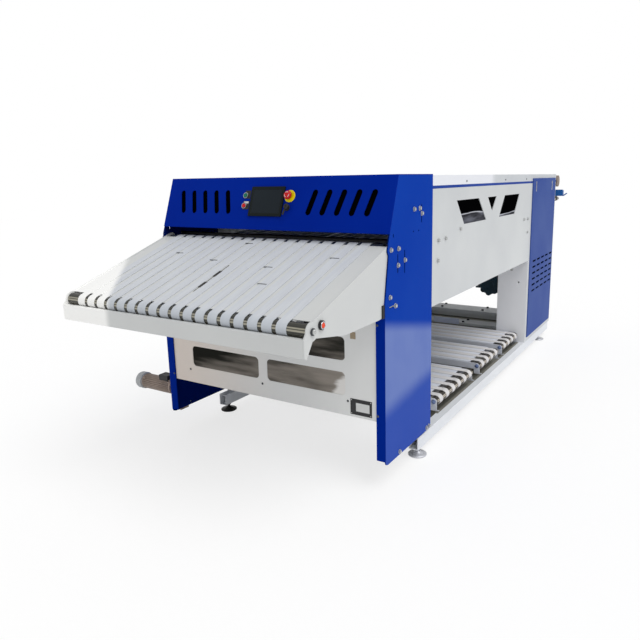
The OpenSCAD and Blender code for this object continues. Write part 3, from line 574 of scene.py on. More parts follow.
screen_x, screen_rise, screen_w, screen_h = -0.006, 0.121, 0.188, 0.138
bezel_thick, bezel_rim, housing_deep = 0.007, 0.013, 0.038
glass_half_w, glass_half_h = screen_w / 2 - bezel_rim - 0.001, screen_h / 2 - bezel_rim - 0.001
bezel_plastic = coated("bezel_plastic", (27, 34, 33), (20, 26, 26), (0.4, 0.55), (900, 0.12), shine=0.12)
glass_face = coated("screen_glass", (26, 36, 42), (20, 29, 36), (0.1, 0.16), (60, 0.0), shine=0.2)
bezel = plate("screen_bezel", (screen_w, screen_h), bezel_thick, bezel_rim, 0.0022, 0.0012)
painted(bezel, bezel_plastic).data.materials.append(glass_face)
for face in bezel.data.polygons:
    inside = abs(face.center.x) < glass_half_w and abs(face.center.y) < glass_half_h
    if inside and face.normal.z > 0.9 and face.center.z < 0.0055:
        face.material_index = 1
placed(bezel, on_slope(screen_x, screen_rise))
housing = plate("screen_back", (screen_w - 0.013, screen_h - 0.013), housing_deep, edge=0.002)
placed(painted(housing, bezel_plastic), on_slope(screen_x, screen_rise, -housing_deep))
finish("touch_screen_unit", [bezel, housing], None, stands_for=["touch_screen"])


# Switch collars: steel for the lit buttons, black for the key and the infeed plates' buttons,
# a yellow disc for the emergency stop. Each has its contact block behind the sheet.
steel_collar = coated("turned_collar", (198, 200, 203), (176, 179, 183), (0.16, 0.26), (800, 0.05), 1.0)
black_plastic = coated("black_plastic", (26, 26, 28), (20, 20, 22), (0.4, 0.55), (900, 0.15))
yellow_plastic = coated("yellow_plastic", (240, 222, 4), (234, 214, 2), (0.3, 0.4), (700, 0.08), shine=0.3)
start_x = screen_x - screen_w / 2 - 0.0345
stop_x = screen_x + screen_w / 2 + 0.030
key_x = stop_x - 0.005
start_rise, stop_rise, emergency_rise, key_rise = 0.148, 0.102, 0.145, 0.095
nose_axis = Vector((mid_x, flange_y - 0.505, top_z - 0.505))
side_along, side_up = 0.051, 0.012
bore, neck, neck_low, block_low = 0.0098, 0.011, -0.023, -0.058
ring_steps = [(0.0145, 0.0), (0.0145, 0.0024), (0.013775, 0.004), (0.010976, 0.004), (bore, 0.0028)]
shroud_steps = [(0.0168, 0.0), (0.0168, 0.0085), (0.0160, 0.0095), (0.0136, 0.0095), (0.0132, 0.0088),
                (bore, 0.0088)]
rim_steps = [(0.0099, 0.0085), (0.0140, 0.0085), (0.0142, 0.0106), (0.0136, 0.0114), (0.0108, 0.0114),
             (0.0099, 0.0106), (0.0099, 0.0087)]
disc_steps = [(0.028, 0), (0.028, 0.0012), (0.0274, 0.002), (0.0115, 0.002), (bore, 0.0016)]


def collar(name, steps, material, sides=40):
    """A collar with its neck through the sheet; steps go from the neck outwards and back in."""
    neck_steps = [(bore, neck_low), (neck, neck_low), (neck, 0.0)]
    return stacked(name, (neck_steps + steps + [(bore, neck_low + 0.0002)], sides, material))


def contact_block(seat):
    block = painted(plate("contact_block", (0.032, 0.032), 0.0345, edge=0.0015), black_plastic)
    return placed(block, seat @ at(0, 0, block_low))


def on_side(side, along=0.0, up=0.0):
    """A seat on an infeed plate's outer face, measured from the nose roller's axis."""
    return facing((side, 0, 0), nose_axis + Vector((side * inner_half, along, up)))


collars = []
for seat, material in (
    (on_slope(start_x, start_rise), steel_collar),
    (on_slope(start_x, stop_rise), steel_collar),
    (on_slope(key_x, key_rise), black_plastic),
):
    collars += [placed(collar("collar", ring_steps, material), seat), contact_block(seat)]
for side in (1, -1):
    seat = on_side(side, side_along, side_up)
    rim = stacked("rim", (rim_steps, 40, steel_collar))
    ring = joined("side_collar", [collar("shroud", shroud_steps, black_plastic), rim])
    collars += [placed(ring, seat), contact_block(seat)]
seat = on_slope(stop_x, emergency_rise)
collars += [placed(collar("stop_disc", disc_steps, yellow_plastic, 48), seat), contact_block(seat)]
finish("collar_set", collars, None, stands_for=["switch_collars"])


# Push buttons: green start and red stop in translucent plastic on the control panel, an
# orange one on each infeed plate. Their stems stop short of the collars' floors.
green_plastic = coated("green_plastic", (0, 112, 88), (0, 100, 80), (0.2, 0.3), (500, 0.05), shine=0.35)
red_plastic = coated("red_plastic", (206, 6, 18), (192, 4, 12), (0.2, 0.3), (500, 0.05), shine=0.35)
orange_plastic = coated("orange_plastic", (236, 66, 0), (224, 54, 0), (0.25, 0.35), (500, 0.05), shine=0.25)
stem = [(0.0093, -0.0184), (0.0095, -0.0179)]
cap = [(0.0095, 0.0055), (0.0091, 0.0065), (0.0078, 0.007), (0.0072, 0.0066), (0.0005, 0.0064)]
side_cap = [(radius, height + 0.0048) for radius, height in cap]
for name, steps, seat, material, slot in (
    ("start_button", cap, on_slope(start_x, start_rise), green_plastic, "green_plastic"),
    ("stop_button", cap, on_slope(start_x, stop_rise), red_plastic, "red_plastic"),
    ("side_button_right", side_cap, on_side(1, side_along, side_up), orange_plastic, "orange_plastic"),
    ("side_button_left", side_cap, on_side(-1, side_along, side_up), orange_plastic, "orange_plastic"),
):
    button = placed(turned(name + "_cap", stem + steps, 36), seat)
    finish(name + "_cap", [button], material, name, [name])


# Emergency stop: a red mushroom head of moulded plastic on its stem, with three white arrows
# printed round its top.
def close_up(gap):
    """Merges points nearer than gap, turns the faces outwards and leaves edit mode."""
    bpy.ops.mesh.select_all(action="SELECT")
    bpy.ops.mesh.remove_doubles(threshold=gap)
    bpy.ops.mesh.normals_make_consistent(inside=False)
    bpy.ops.object.mode_set(mode="OBJECT")


white_mark = coated("white_marking", (226, 222, 220), (216, 212, 210), (0.4, 0.5), (700, 0.05))
mark_place = (0.0118, 0, 0.0258)
deselect()
bpy.ops.mesh.primitive_plane_add(size=1, location=(0, 0, 0), rotation=(math.pi / 2, 0, 0))
arc = bpy.context.object
arc.scale = (0.0022, 0.0008, 1)
arc.location = mark_place
apply_all(arc)
edit(arc)
bpy.ops.mesh.select_all(action="SELECT")
bpy.ops.mesh.spin(steps=7, angle=math.radians(62), center=(0, 0, 0), axis=(0, 0, 1))
close_up(merge_gap)
deselect()
bpy.ops.mesh.primitive_cone_add(
    vertices=3, radius1=0.0030, radius2=0.0028, depth=0.0008, location=mark_place, rotation=(0, 0, math.pi)
)
tip = bpy.context.object
apply_all(tip)
arrow = painted(joined("arrow", [arc, tip]), white_mark)
arrows = copies(arrow, [Matrix.Rotation(math.radians(turn), 4, "Z") for turn in (0, 120, 240)])
mushroom_steps = [(0.0095, 0.0108), (0.0165, 0.0112), (0.0178, 0.0125), (0.0196, 0.0165), (0.0199, 0.0185),
                  (0.0192, 0.0212), (0.0172, 0.0238), (0.0140, 0.0252), (0.0095, 0.0258), (0.0005, 0.026)]
mushroom = joined("mushroom", [stacked("head", (stem + mushroom_steps, 48, red_plastic))] + arrows)
placed(mushroom, on_slope(stop_x, emergency_rise))
finish("mushroom_head", [mushroom], None, "emergency_stop", ["emergency_stop"])


# Key switch: a turned black lock with its key in it, and a blank tag hanging on a loop from
# the key's bow.
lock_steps = [(0.0095, 0.0052), (0.009, 0.006), (0.0005, 0.006)]
bow_steps = [(0.0118, 0), (0.0124, 0.0005), (0.0124, 0.0021), (0.0118, 0.0026), (0.0042, 0.0026),
             (0.0038, 0.0010), (0.0005, 0.0009)]
tag_turn = Matrix.Rotation(math.radians(-12), 4, "Z")
key_parts = [
    turned("lock", stem + lock_steps, 36),
    placed(turned("key_bow", bow_steps, 32), at(0.008, 0.001, 0.020)),
    placed(plate("key_blade", (0.0022, 0.009), 0.016, edge=0.0004), at(0, 0, 0.0055)),
    placed(plate("key_tag", (0.009, 0.024), 0.0018, 0.0016, 0.0004, 0.0004),
           at(0.001, -0.026, 0.0215) @ tag_turn),
    placed(plate("key_loop", (0.0022, 0.014), 0.0012, edge=0.0003), at(0.004, -0.011, 0.0225)),
]
key = placed(joined("key", key_parts), on_slope(key_x, key_rise))
finish("key", [key], black_plastic, "key_switch", ["key_switch"])


# Legend plates behind the start and stop buttons, a data plate and a brass tag on the lower
# panel: thin engraved plastic and sheet, glued or riveted on, all left bare.
tag_brass = coated("tag_brass", (150, 135, 110), (132, 118, 96), (0.3, 0.45), (700, 0.1), metallic=0.3)
pale_field = coated("bare_label", (206, 207, 206), (198, 199, 199), (0.4, 0.5), (700, 0.06))
upright = Matrix.Rotation(math.pi / 2, 4, "X")
data_x, data_z = 0.5165, 0.3585


def on_machine(x, y, z):
    """A place measured from the middle line, the flange face and the floor."""
    return at(mid_x + x, flange_y + y, z)


plates = []
for x, z, size, thick, inset, lift, material in (
    (data_x, data_z, (0.105, 0.071), 0.0012, 0.004, 0.0, black_plastic),
    (0.5245, data_z, (0.066, 0.038), 0.0003, 0.0, 0.0010, pale_field),
    (0.481, 0.673, (0.026, 0.030), 0.0010, 0.003, 0.0, tag_brass),
):
    sign = painted(plate("sign", size, thick, inset, 0.0003, 0.0003), material)
    plates.append(placed(sign, on_machine(x, panel_thick - lift, z) @ upright))
rivet = stacked("rivet", ([(0.0022, 0), (0.0022, 0.0003), (0.0015, 0.0009), (0.0004, 0.0011)], 16, zinc))
corners = [(x, z) for z in (-0.030, 0.030) for x in (-0.047, 0.047)]
plates += copies(rivet, [on_machine(data_x + x, 0.0048, data_z + z) @ upright for x, z in corners])
for x, rise, size, lift, material in (
    (-0.123, 0.152, (0.032, 0.038), 0.0, black_plastic),
    (-0.1245, 0.1045, (0.035, 0.039), 0.0, black_plastic),
    (-0.124, 0.1165, (0.026, 0.010), 0.0010, pale_field),
):
    legend = painted(plate("legend", size, 0.0012, edge=0.0004), material)
    plates.append(placed(legend, on_slope(x, rise, lift)))
finish("bare_plates", plates, None, stands_for=["blank_plates"])


# Filter mats behind the control panel's vent slots: near-black fleece, so that the slots show painted shade
# of the inside, held to the back of the sheet.
shade_filter_mat = coated("shade_filter_mat", (5, 5, 7), (2, 2, 3), (0.85, 0.95), (350, 0.6), shine=0.0)
for name, side in (("right", 1), ("left", -1)):
    seat = on_slope(side * 0.385, screen_rise, -0.009)
    mat = placed(plate("mat", (0.37, 0.17), 0.002, edge=0.0006), seat)
    finish("fascia_shade_filter_" + name, [mat], shade_filter_mat)


# Infeed side plates, nose bumper, bed and lower front panel: white coated sheet. The light
# washes out the infeed's left part towards the nose, and the glare group masks that part.
glare, given, out = new_group("glare", {"Middle": 0.0, "Nose": 0.0}, ("Mask",))
spot = axes(glare)
aside = minus(glare, spot["X"], given["Middle"])
along = minus(glare, spot["Y"], given["Nose"])
slanted = plus(glare, aside, times(glare, along, 0.8))
washed = times(glare, ramp(glare, slanted, -0.36, -0.405), ramp(glare, along, 0.42, 0.2))
feed(glare, washed, out["Mask"])


def with_glare(material):
    mask = use_group(material.node_tree, glare, Middle=mid_x, Nose=nose_axis[1])["Mask"]
    repaint(material, mask, linear(250, 250, 248))
    return material


def dress(material, *names):
    for name in names:
        for slot in nodes[name].material_slots:
            slot.material = material


infeed_paint = with_glare(coated("white_infeed_coat", (205, 207, 206), (200, 202, 202), shine=0.3))
for name in ("infeed_plate_right", "infeed_plate_left", "nose_bumper"):
    sheet_copy(name, 0.001, infeed_paint)
dress(infeed_paint, "infeed_bed")
panel_white = coated("white_powder_coat_front", (222, 223, 222), (215, 216, 216), shine=0.3)
tree = panel_white.node_tree
repaint(panel_white, ramp(tree, axes(tree)["X"], mid_x + 0.15, mid_x - 0.6), linear(224, 213, 204))
sheet_copy("lower_front_panel", 0.001, panel_white)


# Rubber pads that close the notch between each infeed side plate and the panel's flange,
# moulded with a sunk field and pushed in.
black_rubber = coated("black_rubber", (24, 24, 25), (18, 18, 19), (0.6, 0.75), (700, 0.3))
pad = plate("notch_pad", (0.032, 0.054), 0.020, 0.003, 0.0008, 0.003)
pads = copies(pad, [on_machine(side * 0.6195, 0, 0.791) @ upright for side in (1, -1)])
finish("notch_pads", pads, black_rubber)


# Infeed belts: woven polyester bands with a pale grey cover, each welded into a loop that
# lies on the bed and round its two rollers. One loop is modelled and copied.
weave, given, out = new_group("weave", {"Thread Scale": 900.0}, ("Thread",))
where = object_place(weave)
threads = []
for direction in ("X", "Y"):
    wave = add_node(weave, "TexWave", Vector=where, Scale=given["Thread Scale"])
    wave.bands_direction = direction
    threads.append(wave.outputs["Fac"])
feed(weave, combine(weave, "MAXIMUM", *threads), out["Thread"])


def belt_cloth(name, pale, worn, run):
    """A belt's cover; run stretches its streaks along the belt, by scales for X, Y and Z."""
    material, shader = new_material(name)
    tree = material.node_tree
    mapped = add_node(tree, "Mapping", Vector=object_place(tree), Scale=run).outputs["Vector"]
    streaks = stretched(tree, noise(tree, mapped, 9.0, 6.0), 0.3, 0.7)
    cover = blended(tree, streaks, linear(*pale), linear(*worn))
    # Near the nose the cover is painted darker and bluer, as painted shade on the wrap round the roller.
    nose_shade = ramp(tree, axes(tree)["Y"], nose_axis[1] + 0.010, nose_axis[1] - 0.028, 0.0, 0.5)
    thread = use_group(tree, weave)["Thread"]
    bump = add_node(tree, "Bump", Strength=0.2, Distance=0.0003, Height=thread).outputs["Normal"]
    shaded = blended(tree, nose_shade, cover, linear(178, 186, 195))
    fill(tree, shader, Base_Color=shaded, Normal=bump, Roughness=0.62, Sheen_Weight=0.1)
    return material


def belt_loop(name, length, radius, thick, width):
    """A loop in the YZ plane: round the origin and round (0, length, 0), width along X."""
    deselect()
    bpy.ops.mesh.primitive_plane_add(size=1, location=(0, 0, 0))
    piece = bpy.context.object
    piece.name = name
    piece.scale = (width, length, 1)
    piece.location = (0, length / 2, radius)
    apply_all(piece)
    edit(piece, "EDGE")
    bpy.ops.mesh.select_all(action="DESELECT")
    bpy.ops.object.mode_set(mode="OBJECT")
    for vertex in piece.data.vertices:
        vertex.select = abs(vertex.co.y) < 1e-5
    for drawn in piece.data.edges:
        drawn.select = all(piece.data.vertices[v].select for v in drawn.vertices)
    bpy.ops.object.mode_set(mode="EDIT")
    bpy.ops.mesh.spin(steps=12, angle=math.pi, center=(0, 0, 0), axis=(-1, 0, 0))
    bpy.ops.mesh.extrude_region_move(TRANSFORM_OT_translate={"value": (0, length, 0)})
    bpy.ops.mesh.spin(steps=12, angle=math.pi, center=(0, length, 0), axis=(-1, 0, 0))
    close_up(0.00005)
    wall = piece.modifiers.new("wall", "SOLIDIFY")
    wall.thickness = thick
    wall.offset = 1
    apply_all(piece)
    bevelled(piece, thick * 0.2, 2, 60)
    return piece


feed_length, feed_radius, belt_thick = 0.605, 0.0273, 0.002
belt_number, belt_wide, belt_pitch, belt_shift = 18, 0.0435, 0.062, -0.00325
feed_turn = Matrix.Translation(nose_axis) @ Matrix.Rotation(math.radians(19.5), 4, "X")
belt_white = with_glare(belt_cloth("belt_cover", (204, 208, 213), (194, 198, 205), (6.0, 0.5, 1.0)))
belt_xs = [(i - (belt_number - 1) / 2) * belt_pitch + belt_shift for i in range(belt_number)]
belts = copies(belt_loop("belt", feed_length, feed_radius, belt_thick, belt_wide),
               [feed_turn @ at(x, 0, 0) for x in belt_xs])
finish("infeed_belt_set", belts, belt_white, stands_for=["infeed_belts"])
dress(belt_white, "transport_belts")


# Belt lacings, which close each loop with a thin grey seam, and the brown guide strips of the
# cloth sensor in one belt gap, screwed to the bed.
lacing_grey = coated("belt_lacing", (66, 68, 72), (56, 58, 62), (0.4, 0.55), (700, 0.2))
lacing_places = ((-0.368, 0.421), (-0.120, 0.377), (-0.056, 0.552),
                 (0.200, 0.352), (0.267, 0.219), (0.453, 0.462))
lacing_lift = feed_radius + belt_thick - 0.0001
lacings = copies(plate("lacing", (0.044, 0.0052), 0.0006, edge=0.0002),
                 [feed_turn @ at(x, along, lacing_lift) for x, along in lacing_places])
finish("belt_lacings", lacings, lacing_grey)
guide_brown = coated("guide_brown", (46, 41, 32), (36, 32, 25), (0.5, 0.6))
guides = []
for along, length, wide in ((0.2675, 0.048, 0.0150), (0.175, 0.045, 0.0150), (0.232, 0.226, 0.0026)):
    strip = plate("bed_guide", (wide, length), 0.0012, edge=0.0003)
    guides.append(placed(strip, feed_turn @ at(-0.004, along, feed_radius - 0.0004)))
finish("bed_guides", guides, guide_brown)


# Rollers and shafts: steel tube and bar, ground bright. The nose roller and the cross idlers are
# painted dark with light bands round their axis, both painted reflections.
steel = coated("ground_steel", (150, 146, 140), (128, 124, 118), (0.14, 0.24), (900, 0.04), metallic=1.0)
dress(steel, "transport_front_roller", "transport_rear_roller", "nip_roller_upper", "nip_roller_lower",
      "fold_blade", "cross_drive_shaft")
bands, given, out = new_group("bands", {"Across": 0.0, "Height": 0.0}, ("Mask",))
turn = combine(bands, "ARCTAN2", given["Height"], given["Across"])
grain = bands.nodes.new("ShaderNodeTexNoise")
grain.noise_dimensions = "1D"
fill(bands, grain, W=turn, Scale=3.4, Detail=2.0)
stripes = ramp(bands, grain.outputs["Fac"], 0.48, 0.6)
feed(bands, times(bands, stripes, ramp(bands, turn, 1.3, 0.8)), out["Mask"])


def banded(name, dark, light, axis, centre, way):
    """Steel painted dark, with light bands round its axis as painted reflections: axis is the letter across
    it, way its sign.
    """
    material = coated(name, dark, dark, (0.2, 0.32), (900, 0.04), metallic=0.35)
    tree = material.node_tree
    spot = axes(tree)
    across = times(tree, minus(tree, spot[axis], centre[0]), way)
    height = minus(tree, spot["Z"], centre[1])
    mask = use_group(tree, bands, Across=across, Height=height)["Mask"]
    repaint(material, mask, linear(*light))
    return material


idlers = ("cross_idler_front", "cross_idler_middle", "cross_idler_rear")
dress(banded("chrome_painted_reflection", (60, 60, 55), (166, 162, 146), "Y", nose_axis[1:3], -1.0), "nose_roller")
dress(banded("steel_painted_reflection", (52, 46, 40), (206, 196, 182), "X", (mid_x + 0.556, 0.155), 1.0), *idlers)
blue_grey = coated("blue_grey_steel", (112, 120, 132), (96, 104, 116), (0.2, 0.3), metallic=0.8)
blackened = coated("blackened_bar", (26, 26, 28), (18, 18, 20), (0.4, 0.5), metallic=0.4)
dress(blue_grey, "infeed_drive_roller")
dress(blackened, "entry_guide_bar")


# Nose roller's end screws: a dark washer and a zinc plated cap screw with its socket, on each
# infeed side plate.
washer_steps = [(0.0124, 0.0010), (0.0127, 0.0013), (0.0127, 0.0060), (0.0122, 0.0064)]
cap_steps = [(0.0096, 0.0064), (0.0099, 0.0068), (0.0099, 0.0112), (0.0092, 0.0120), (0.0052, 0.0120)]
socket_steps = [(0.0052, 0.0116), (0.0050, 0.01205), (0.0045, 0.01205), (0.0041, 0.0116), (0.0004, 0.0115)]
# The cap screw's socket is painted near black, as painted shade.
parts = (washer_steps, 32, screw_dark), (cap_steps, 32, zinc), (socket_steps, 6, recess_shade_and_dark_bolts)
screws = copies(stacked("nose_screw", *parts), [on_side(side) for side in (1, -1)])
finish("nose_screws", screws, None, "nose_roller")


# White body sides with their windows, the top covers and the housing's walls, all white
# coated sheet, and the blue rubber seal that the top covers rest on.
for name in ("body_side_right", "body_side_left", "door_surrounds", "rear_cover"):
    sheet_copy(name, 0.001, white_paint)
# The housing's walls take a lighter copy of the white coat, as painted light on their shaded front faces.
lit_wall_paint = coated("white_wall_coat_painted_light", (242, 243, 246), (236, 237, 241), shine=0.3)
sheet_copy("housing_walls", 0.001, lit_wall_paint)
cover_paint = coated("white_cover_coat", (200, 204, 208), (194, 198, 203), shine=0.3)
tree = cover_paint.node_tree
repaint(cover_paint, ramp(tree, axes(tree)["Y"], flange_y + 1.43, flange_y + 1.32), linear(230, 232, 238))
sheet_copy("top_covers", 0.001, cover_paint)
blue_rubber = coated("blue_edge_rubber", (30, 66, 152), (24, 58, 144), (0.5, 0.65), (600, 0.2), shine=0.08)
dress(blue_rubber, "edge_seals")


# Windows: smoked acrylic panes behind the cut-outs, painted with streaks of painted reflection. The
# front panes are painted lightest low on the right, with a painted highlight in the corner; the side panes
# are painted black above as painted shade of the inside, with a painted highlight on a bright fold.
smoked = coated("smoked_acrylic", (38, 38, 36), (32, 32, 31), (0.2, 0.3), (60, 0.0), shine=0.0)
tree = smoked.node_tree
spot = axes(tree)
lean_back = (0, math.radians(35), 0)
mapped = add_node(tree, "Mapping", Vector=object_place(tree), Rotation=lean_back, Scale=(0.7, 0.7, 5))
reflection_noise = noise(tree, mapped.outputs["Vector"], 4.0, 5.0)
streaks = ramp(tree, reflection_noise, 0.3, 0.7, -0.3, 0.3)

# Front panes: a painted reflection, light low on the right, and a painted highlight in the lower corner.
across = times(tree, minus(tree, spot["X"], mid_x - 0.462), 0.9)
below = times(tree, minus(tree, 0.47, spot["Z"]), 3.2)
front_tone = ramp(tree, plus(tree, plus(tree, across, below), streaks), 0.02, 1.05)
front_look = blended(tree, front_tone, linear(36, 36, 33), linear(146, 139, 131))
corner = minus(tree, minus(tree, spot["X"], mid_x), spot["Z"])
corner_highlight = ramp(tree, plus(tree, corner, times(tree, streaks, 0.10)), -0.058, -0.022)
front_look = blended(tree, corner_highlight, front_look, linear(224, 222, 219))

# Side panes: painted black above the fold as painted shade of the inside, a painted highlight on the fold's
# edge, and mottled grey streaks below.
window_low = top_z - 0.255
fold = ramp(tree, spot["Y"], flange_y + 1.22, flange_y + 1.45, window_low + 0.052, window_low + 0.018)
over = plus(tree, minus(tree, spot["Z"], fold), times(tree, streaks, 0.02))
low_look = blended(tree, ramp(tree, reflection_noise, 0.35, 0.65), linear(46, 46, 50), linear(112, 114, 124))
fold_highlight = times(tree, ramp(tree, over, -0.008, -0.002), ramp(tree, over, 0.002, -0.001))
lit_fold = blended(tree, fold_highlight, low_look, linear(186, 188, 196))
side_look = blended(tree, ramp(tree, over, -0.001, 0.003), lit_fold, linear(4, 4, 5))
pane_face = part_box("window_panes")[1][0] - mid_x - 0.0006
aside = combine(tree, "ABSOLUTE", minus(tree, spot["X"], mid_x))
outermost = combine(tree, "GREATER_THAN", aside, pane_face)
side_look = blended(tree, outermost, linear(6, 6, 7), side_look)

is_side = ramp(tree, spot["Y"], flange_y + 0.3, flange_y + 0.4)
fill(tree, tree.nodes["Principled BSDF"], Base_Color=blended(tree, is_side, front_look, side_look))
sheet_copy("window_panes", 0.0004, smoked)


# Rear doors: blue trays that lift off, with rows of louvres for the drive and the cabinet,
# and two bright finger pulls each. A near-black filter mat lies behind the louvres, as painted shade for
# the inside.
door_blue = coated("door_blue_paint", (62, 86, 152), (54, 78, 148), (0.35, 0.45), (300, 0.1), shine=0.015)
pull_zinc = coated("pull_zinc", (206, 206, 204), (184, 184, 182), (0.3, 0.4), (700, 0.08), metallic=0.3)
pull_ys = (flange_y + 2.362, flange_y + 2.858)
pull_low, pull_high, louvre_z = 1.203, 1.277, 0.586
for name, side in (("right", 1), ("left", -1)):
    node_name = "door_" + name
    door = sheet_copy(node_name, 0.0006, door_blue, node_name)
    door.data.materials.append(pull_zinc)
    for face in door.data.polygons:
        beside = min(abs(face.center.y - pull_y) for pull_y in pull_ys)
        if beside < 0.0085 and pull_low < face.center.z < pull_high and face.area < 0.003:
            face.material_index = 1
    low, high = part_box(node_name)
    seat = facing((side, 0, 0), (mid_x + side * (inner_half + 0.0005), (low[1] + high[1]) / 2, louvre_z))
    mat = placed(plate("mat", (0.30, 0.68), 0.002, edge=0.0005), seat)
    finish("door_shade_filter_" + name, [mat], shade_filter_mat, node_name)


# Cross conveyors: bent side plates and a bed in a white painted brighter than the body's, as painted light
# on their shaded faces, with the same pale belts round small steel rollers, in three groups from front to
# rear.
lit_frame_paint = coated("white_frame_coat_painted_light", (228, 231, 240), (220, 224, 234), shine=0.3)
sheet_copy("cross_conveyor_frames", 0.0006, lit_frame_paint)
dress(zinc, "fold_cylinders")
cross_cloth = belt_cloth("cross_belt_cover", (224, 222, 222), (212, 211, 212), (0.5, 6.0, 1.0))
cross_wide, cross_pitch = 0.042, 0.090
low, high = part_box("cross_conveyor_belts")
tall = high[2] - low[2]
pattern = belt_loop("cross_belt", high[0] - low[0] - tall, tall / 2 - belt_thick, belt_thick, cross_wide)
crosswise = Matrix.Rotation(-math.pi / 2, 4, "Z")
spots = []
for start, number in ((0.705, 6), (1.390, 4), (1.860, 4)):
    for i in range(number):
        y = flange_y + start + (i + 0.5) * cross_pitch
        spots.append(at(low[0] + tall / 2, y, (low[2] + high[2]) / 2) @ crosswise)
belts = copies(pattern, spots)
finish("cross_belt_set", belts, cross_cloth, stands_for=["cross_conveyor_belts"])


# Bearing bolts in the ends of the cross idlers: a washer and a round head with a blue
# passivated zinc coat.
blued_zinc = coated("blued_zinc", (132, 150, 190), (104, 122, 166), (0.25, 0.4), (700, 0.08), metallic=0.4)
washer_steps = [(0.0122, 0.0002), (0.0125, 0.0005), (0.0125, 0.0017), (0.0122, 0.002)]
round_steps = [(0.0094, 0.002), (0.0098, 0.0026), (0.0098, 0.0058), (0.0082, 0.0078), (0.0050, 0.0088),
               (0.0005, 0.009)]
for name in idlers:
    low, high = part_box(name)
    x, z = (low[0] + high[0]) / 2, (low[2] + high[2]) / 2
    pattern = stacked("bearing_bolt", (washer_steps, 28, blued_zinc), (round_steps, 28, blued_zinc))
    spots = [facing((0, -1, 0), (x, low[1] + 0.004, z)), facing((0, 1, 0), (x, high[1] - 0.004, z))]
    ends = copies(pattern, spots)
    finish(name + "_bolts", ends, blued_zinc, name)


# Dark tray: one dark coated sheet with turned-up edges, laid on the base's cross members under the
# conveyors, and a flat lip along each side. Its grey is painted shade, standing for the floor in shade
# there.
floor_shade_grey = coated("floor_shade_grey", (128, 127, 118), (112, 111, 103), (0.5, 0.65), (300, 0.2), shine=0.2)
tray = placed(plate("floor_shade_tray", (1.156, 2.24), 0.012, 0.0015, 0.0105, 0.0004), on_machine(0, 1.79, 0.0742))
lip = plate("tray_lip", (0.016, 1.545), 0.0014, edge=0.0004)
lips = copies(lip, [on_machine(side * 0.5835, 1.447, 0.1060) for side in (1, -1)])
finish("floor_shade_tray_set", [tray] + lips, floor_shade_grey)


# Rear beam fittings: dark hexagon bolts on the two rear beams, and a short pale bracket of
# coated sheet with a sunk field, screwed to the nearer one.
beam_bolt_steps = [(0.0128, 0), (0.0132, 0.0005), (0.0132, 0.002), (0.0100, 0.0024), (0.0102, 0.008),
                   (0.0090, 0.0092), (0.0005, 0.0093)]
beam_places = ((-0.236, 2.860, 0.200), (-0.226, 2.744, 0.200), (0.146, 2.860, 0.200),
               (0.139, 2.744, 0.200), (0.066, 2.592, 0.140), (0.055, 2.506, 0.140))
pattern = stacked("beam_bolt", (beam_bolt_steps, 6, recess_shade_and_dark_bolts))
beam_bolts = copies(pattern, [on_machine(*place) for place in beam_places])
bracket_coat = coated("pale_bracket_coat", (214, 222, 244), (204, 212, 236), shine=0.3)
bracket = painted(plate("pale_bracket", (0.221, 0.046), 0.005, 0.006, 0.0006, 0.0008), bracket_coat)
placed(bracket, on_machine(-0.0825, 2.480, 0.148) @ upright)
finish("beam_fittings", beam_bolts + [bracket], None)


# Main gear motor: a cast gear block, a finned barrel with lobed end shields, a fan cowl and a
# terminal box with its lid, screwed together and painted teal in one coat.
def round_axis(radius, turn):
    """A place at radius from the Z axis, turn degrees round it. What stands there isn't turned."""
    turn = math.radians(turn)
    return at(math.cos(turn) * radius, math.sin(turn) * radius, 0)


def gear_motor(name, radius, length, cowl_radius, cowl_length, paint, cowl_paint):
    """A finned motor along +Z from the gear block's face at 0 to the cowl's end."""
    flange, tube, cowl_end = radius * 0.92, radius * 0.86, length + cowl_length
    barrel = turned("barrel", [(flange, 0), (flange, 0.012), (tube, 0.014), (tube, length - 0.012),
                               (flange, length - 0.01), (flange, length)], 48)

    def is_fin(face):
        mid_span = 0.02 < face.center.z < length - 0.02
        turn = math.degrees(math.atan2(face.center.y, face.center.x)) % 15
        return mid_span and abs(face.normal.z) < 0.2 and turn < 7.5

    edit_faces(barrel, is_fin)
    bpy.ops.mesh.extrude_region_shrink_fatten(TRANSFORM_OT_shrink_fatten={"value": radius * 0.12})
    shields = []
    for z in (0.004, length - 0.026):
        thin, full = radius * 0.17, radius * 0.19
        lobe = turned("lobe", [(thin, z), (full, z + 0.002), (full, z + 0.020), (thin, z + 0.022)], 20)
        shields += copies(lobe, [round_axis(radius * 0.8, turn) for turn in (45, 135, 225, 315)])
    cowl = turned("cowl", [
        (radius * 0.9, length - 0.004), (cowl_radius, length), (cowl_radius, length + cowl_length * 0.8),
        (cowl_radius * 0.93, cowl_end), (cowl_radius * 0.5, cowl_end),
        (cowl_radius * 0.46, cowl_end - 0.003), (0.001, cowl_end - 0.003),
    ], 48)
    for part in [barrel] + shields:
        painted(part, paint)
    return joined(name, [barrel, painted(cowl, cowl_paint)] + shields)


def cast_box(name, origin, low, high, material, edge=0.006, lid=0.0):
    """A cast block between two corners measured from origin, with a lid's field if lid is set."""
    size = [high[i] - low[i] for i in range(3)]
    box = painted(plate(name, size, size[2], lid, 0.0015, edge), material)
    foot = Vector(((low[0] + high[0]) / 2, (low[1] + high[1]) / 2, low[2]))
    return placed(box, Matrix.Translation(origin + foot))


